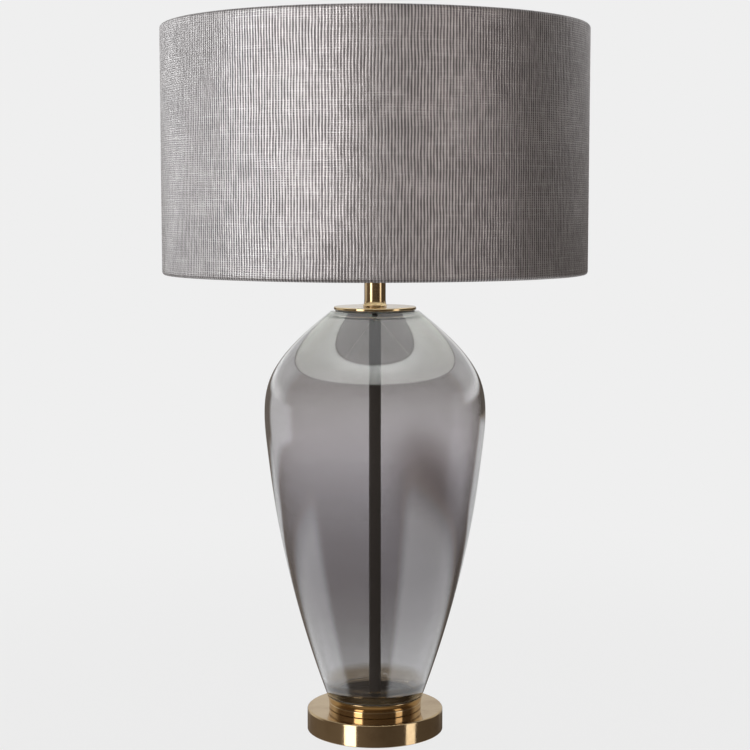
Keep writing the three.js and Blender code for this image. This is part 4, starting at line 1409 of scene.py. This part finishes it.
def weave_tree():
    """Raises the ribs of a strip of cloth and lets its threads wander a little."""
    tree = bpy.data.node_groups.new("woven_ribs", "GeometryNodeTree")
    for name, kind in (("Cloth", "NodeSocketGeometry"), ("Rib depth", "NodeSocketFloat"),
                       ("Pick depth", "NodeSocketFloat"), ("Slub depth", "NodeSocketFloat"),
                       ("Wander", "NodeSocketFloat"), ("Seed", "NodeSocketFloat"),
                       ("Finish", "NodeSocketMaterial")):
        tree.interface.new_socket(name, in_out="INPUT", socket_type=kind)
    tree.interface.new_socket("Cloth", in_out="OUTPUT", socket_type="NodeSocketGeometry")
    start = Socket(tree)
    given = tree.nodes.new("NodeGroupInput")
    cloth, rib_depth, pick_depth, slub_depth, wander, seed, finish = [
        Socket(tree, output) for output in given.outputs][:7]
    rib, pick, face = [start.node("GeometryNodeInputNamedAttribute", {"data_type": "FLOAT"},
                                  {"Name": name}) for name in ("rib", "pick", "face")]

    def drift(rib_scale, pick_scale, offset):
        at_thread = start.node("ShaderNodeCombineXYZ", None, {
            "X": rib * rib_scale, "Y": pick * pick_scale, "Z": seed + offset})
        return start.node("ShaderNodeTexNoise", None, {
            "Vector": at_thread, "Scale": 1.0, "Detail": 2.0}, "Fac") - 0.5

    ridge = start.math("COSINE", rib * (2 * math.pi)) * 0.5 + 0.5
    over_under = start.math("COSINE", (rib + pick) * math.pi)
    rise = (ridge - 1.0) * rib_depth + ridge * over_under * pick_depth
    rise = (rise + drift(0.9, 0.22, 0.0) * slub_depth * (ridge + 0.3)) * face
    sideways = drift(0.045, 0.07, 7.0) * wander * face
    upward = drift(0.02, 0.09, 13.0) * wander * face
    place = start.node("GeometryNodeInputPosition")
    outward = start.node("ShaderNodeVectorMath", {"operation": "NORMALIZE"}, {
        0: start.node("ShaderNodeVectorMath", {"operation": "MULTIPLY"}, {0: place, 1: (1, 1, 0)})})
    round_drum = start.node("ShaderNodeVectorMath", {"operation": "CROSS_PRODUCT"},
                            {0: (0, 0, 1), 1: outward})
    scaled = [start.node("ShaderNodeVectorMath", {"operation": "SCALE"}, {0: way, "Scale": size})
              for way, size in ((outward, rise), (round_drum, sideways))]
    lift = start.node("ShaderNodeCombineXYZ", None, {"Z": upward})
    shift = start.node("ShaderNodeVectorMath", {"operation": "ADD"}, {0: scaled[0], 1: scaled[1]})
    shift = start.node("ShaderNodeVectorMath", {"operation": "ADD"}, {0: shift, 1: lift})
    cloth = start.node("GeometryNodeSetPosition", None, {"Geometry": cloth, "Offset": shift})
    cloth = start.node("GeometryNodeSetShadeSmooth", None, {"Geometry": cloth})
    cloth = start.node("GeometryNodeRealizeInstances", None, {"Geometry": cloth})
    cloth = start.node("GeometryNodeSetMaterial", None, {"Geometry": cloth, "Material": finish})
    start.node("NodeGroupOutput", None, {0: cloth})
    return tree


def metallic_weave():
    material, nodes = new_finish("grey_metallic_weave")
    rib, pick = [nodes.node("ShaderNodeAttribute", {"attribute_name": name}, out="Fac")
                 for name in ("rib", "pick")]
    place = nodes.node("ShaderNodeTexCoord", out="Object")

    def thread_noise(rib_scale, pick_scale, offset, detail=2.0):
        at_thread = nodes.node("ShaderNodeCombineXYZ", None, {
            "X": rib * rib_scale, "Y": pick * pick_scale, "Z": offset})
        return nodes.node("ShaderNodeTexNoise", None, {
            "Vector": at_thread, "Scale": 1.0, "Detail": detail}, "Fac")

    slub = thread_noise(1.1, 0.16, 2.0)
    streak = thread_noise(0.05, 1.3, 5.0)
    patch = fade(thread_noise(0.03, 0.05, 9.0), 0.44, 0.62)
    jitter = (thread_noise(0.6, 0.5, 21.0) - 0.5) * 0.9
    warp = (nodes.math("COSINE", rib * (2 * math.pi)) * 0.5 + 0.5) ** (1.5 - slub)
    weft = nodes.math("COSINE", (pick * 1.4 + jitter) * (2 * math.pi)) * 0.5 + 0.5
    weft = weft * (0.40 + patch * 0.32 + fade(streak, 0.5, 0.75) * 0.2)
    body = 1 - (1 - warp) * (1 - weft)
    twist = noise(place, 2600, 2, 0.6, (1, 1, 0.6))
    # The dark between the threads is partly the cloth's own darker ground and partly painted shade in the
    # gaps of the weave.
    tone_with_painted_gap_shade = body * (0.72 + fade(slub, 0.35, 0.7) * 0.3) + (twist - 0.5) * 0.25
    bright = mixed(fade(streak, 0.45, 0.75), (0.50, 0.475, 0.475), (0.57, 0.55, 0.55))
    return coat_with(material, nodes, {
        "Base Color": mixed(fade(tone_with_painted_gap_shade, 0.08, 0.92), (0.075, 0.068, 0.07), bright),
        "Metallic": 0.25 + 0.55 * body,
        "Roughness": 0.44 - 0.12 * body,
        "Normal": bumps(body + twist * 0.3, 0.00022),
    })


rib_pitch = 0.00275
rib_count = round(2 * math.pi * shade_radius / rib_pitch)
pick_count = 84
cloth_skin = 0.0005
hem_radius = shade_radius - ring_radius
hem_turn = math.radians(150)
lap_ribs = 3
lap_rise = 0.0006
lap_ramp = 2
ring_levels = [(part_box(node)[0].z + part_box(node)[1].z) / 2
               for node in ("shade_bottom_ring", "shade_top_ring")]


def cloth_section():
    """The strip's cut edge: up the outside, over the top ring, and back down the inside.
    Each point is (radius, height, pick, how far its ribs stand out)."""
    low_ring, high_ring = ring_levels
    pitch = (high_ring - low_ring) / pick_count
    loop = []
    for skin, picks, hem_steps in ((0, pick_count, 5), (cloth_skin, 2, 3)):
        radius = hem_radius - skin
        arc = [hem_turn * (1 - step / hem_steps) for step in range(hem_steps)]
        wall = [(shade_radius - skin, low_ring + (high_ring - low_ring) * step / picks)
                for step in range(picks + 1)]
        strip = [(ring_radius + radius * math.cos(turn), low_ring - radius * math.sin(turn),
                  -turn * radius / pitch, 0.3) for turn in arc]
        strip += [(r, z, (z - low_ring) / pitch, 1.0) for r, z in wall]
        strip += [(ring_radius + radius * math.cos(turn), high_ring + radius * math.sin(turn),
                   pick_count + turn * radius / pitch, 0.3) for turn in reversed(arc)]
        loop += strip if skin == 0 else [(r, z, pick, 0.0) for r, z, pick, face in reversed(strip)]
    return np.array(loop)


section = cloth_section()
columns = 2 * (rib_count + lap_ribs) + 1
ribs = np.arange(columns) / 2
turns = ribs / rib_count * 2 * math.pi
lap = np.clip((ribs - rib_count + lap_ramp) / lap_ramp, 0, 1) * lap_rise
grid_radius = section[:, 0][None, :] + lap[:, None]
cloth_points = np.stack([-grid_radius * np.sin(turns)[:, None], grid_radius * np.cos(turns)[:, None],
                         np.broadcast_to(section[:, 1], grid_radius.shape)], axis=2).reshape(-1, 3)
around = len(section)
cloth_faces = [(column * around + row, (column + 1) * around + row,
                (column + 1) * around + (row + 1) % around, column * around + (row + 1) % around)
               for column in range(columns - 1) for row in range(around)]
last_column = (columns - 1) * around
cloth_faces.append(tuple(range(around)))
cloth_faces.append(tuple(last_column + row for row in reversed(range(around))))
cloth_mesh = bpy.data.meshes.new("woven_drum")
cloth_mesh.from_pydata(cloth_points.tolist(), [], cloth_faces)
for name, values in (("rib", np.repeat(ribs, around)), ("pick", np.tile(section[:, 2], columns)),
                     ("face", np.tile(section[:, 3], columns))):
    cloth_mesh.attributes.new(name, "FLOAT", "POINT").data.foreach_set("value", values)
cloth = bpy.data.objects.new("woven_drum", cloth_mesh)
scene.collection.objects.link(cloth)
rib_depth, pick_depth, slub_depth = 0.00022, 0.00008, 0.00024
thread_wander = 0.0022
weave_seed = 4.0
grown(cloth, weave_tree(), **{
    "Rib depth": rib_depth, "Pick depth": pick_depth, "Slub depth": slub_depth,
    "Wander": thread_wander, "Seed": weave_seed, "Finish": metallic_weave()})
cloth.data.set_sharp_from_angle(angle=math.radians(80))
stands_for(cloth, "shade_fabric", "shade")
cloth_flat = (2 * math.pi * shade_radius + lap_ribs * rib_pitch,
              ring_levels[1] - ring_levels[0] + 2 * hem_radius * hem_turn)

# ---------------------------------------------------------------- finial
# A turned brass knob, tapped from below, screws down the stud and holds the shade's hub.

finial_ball, finial_bottom, finial_top = extent("finial")
finial_neck = 0.0046
finial_foot = 0.0016
finial_bore = 0.0034
finial_centre = finial_top - finial_ball
finial_pocket = stud_top + 0.0015
waist_angle = math.radians(-54)
waist = Vector((finial_ball * math.cos(waist_angle), finial_centre + finial_ball * math.sin(waist_angle)))
ball_rows = [(finial_ball * math.cos(angle), finial_centre + finial_ball * math.sin(angle))
             for angle in np.linspace(waist_angle, math.pi / 2, 28)[:-1]]
stands_for(turned("turned_finial", [
    *rounded([(finial_bore, finial_bottom), (finial_ball, finial_bottom, 0.0004),
              (finial_ball, finial_bottom + finial_foot, 0.0005),
              (finial_neck, finial_bottom + finial_foot + 0.002, 0.0014),
              (finial_neck, waist.y - 0.0008, 0.0003), tuple(waist)])[:-1],
    *ball_rows, (0, finial_top), (0, finial_pocket), (finial_bore, finial_pocket - 0.001)],
    brass, 128), "finial", "finial", brass_group)
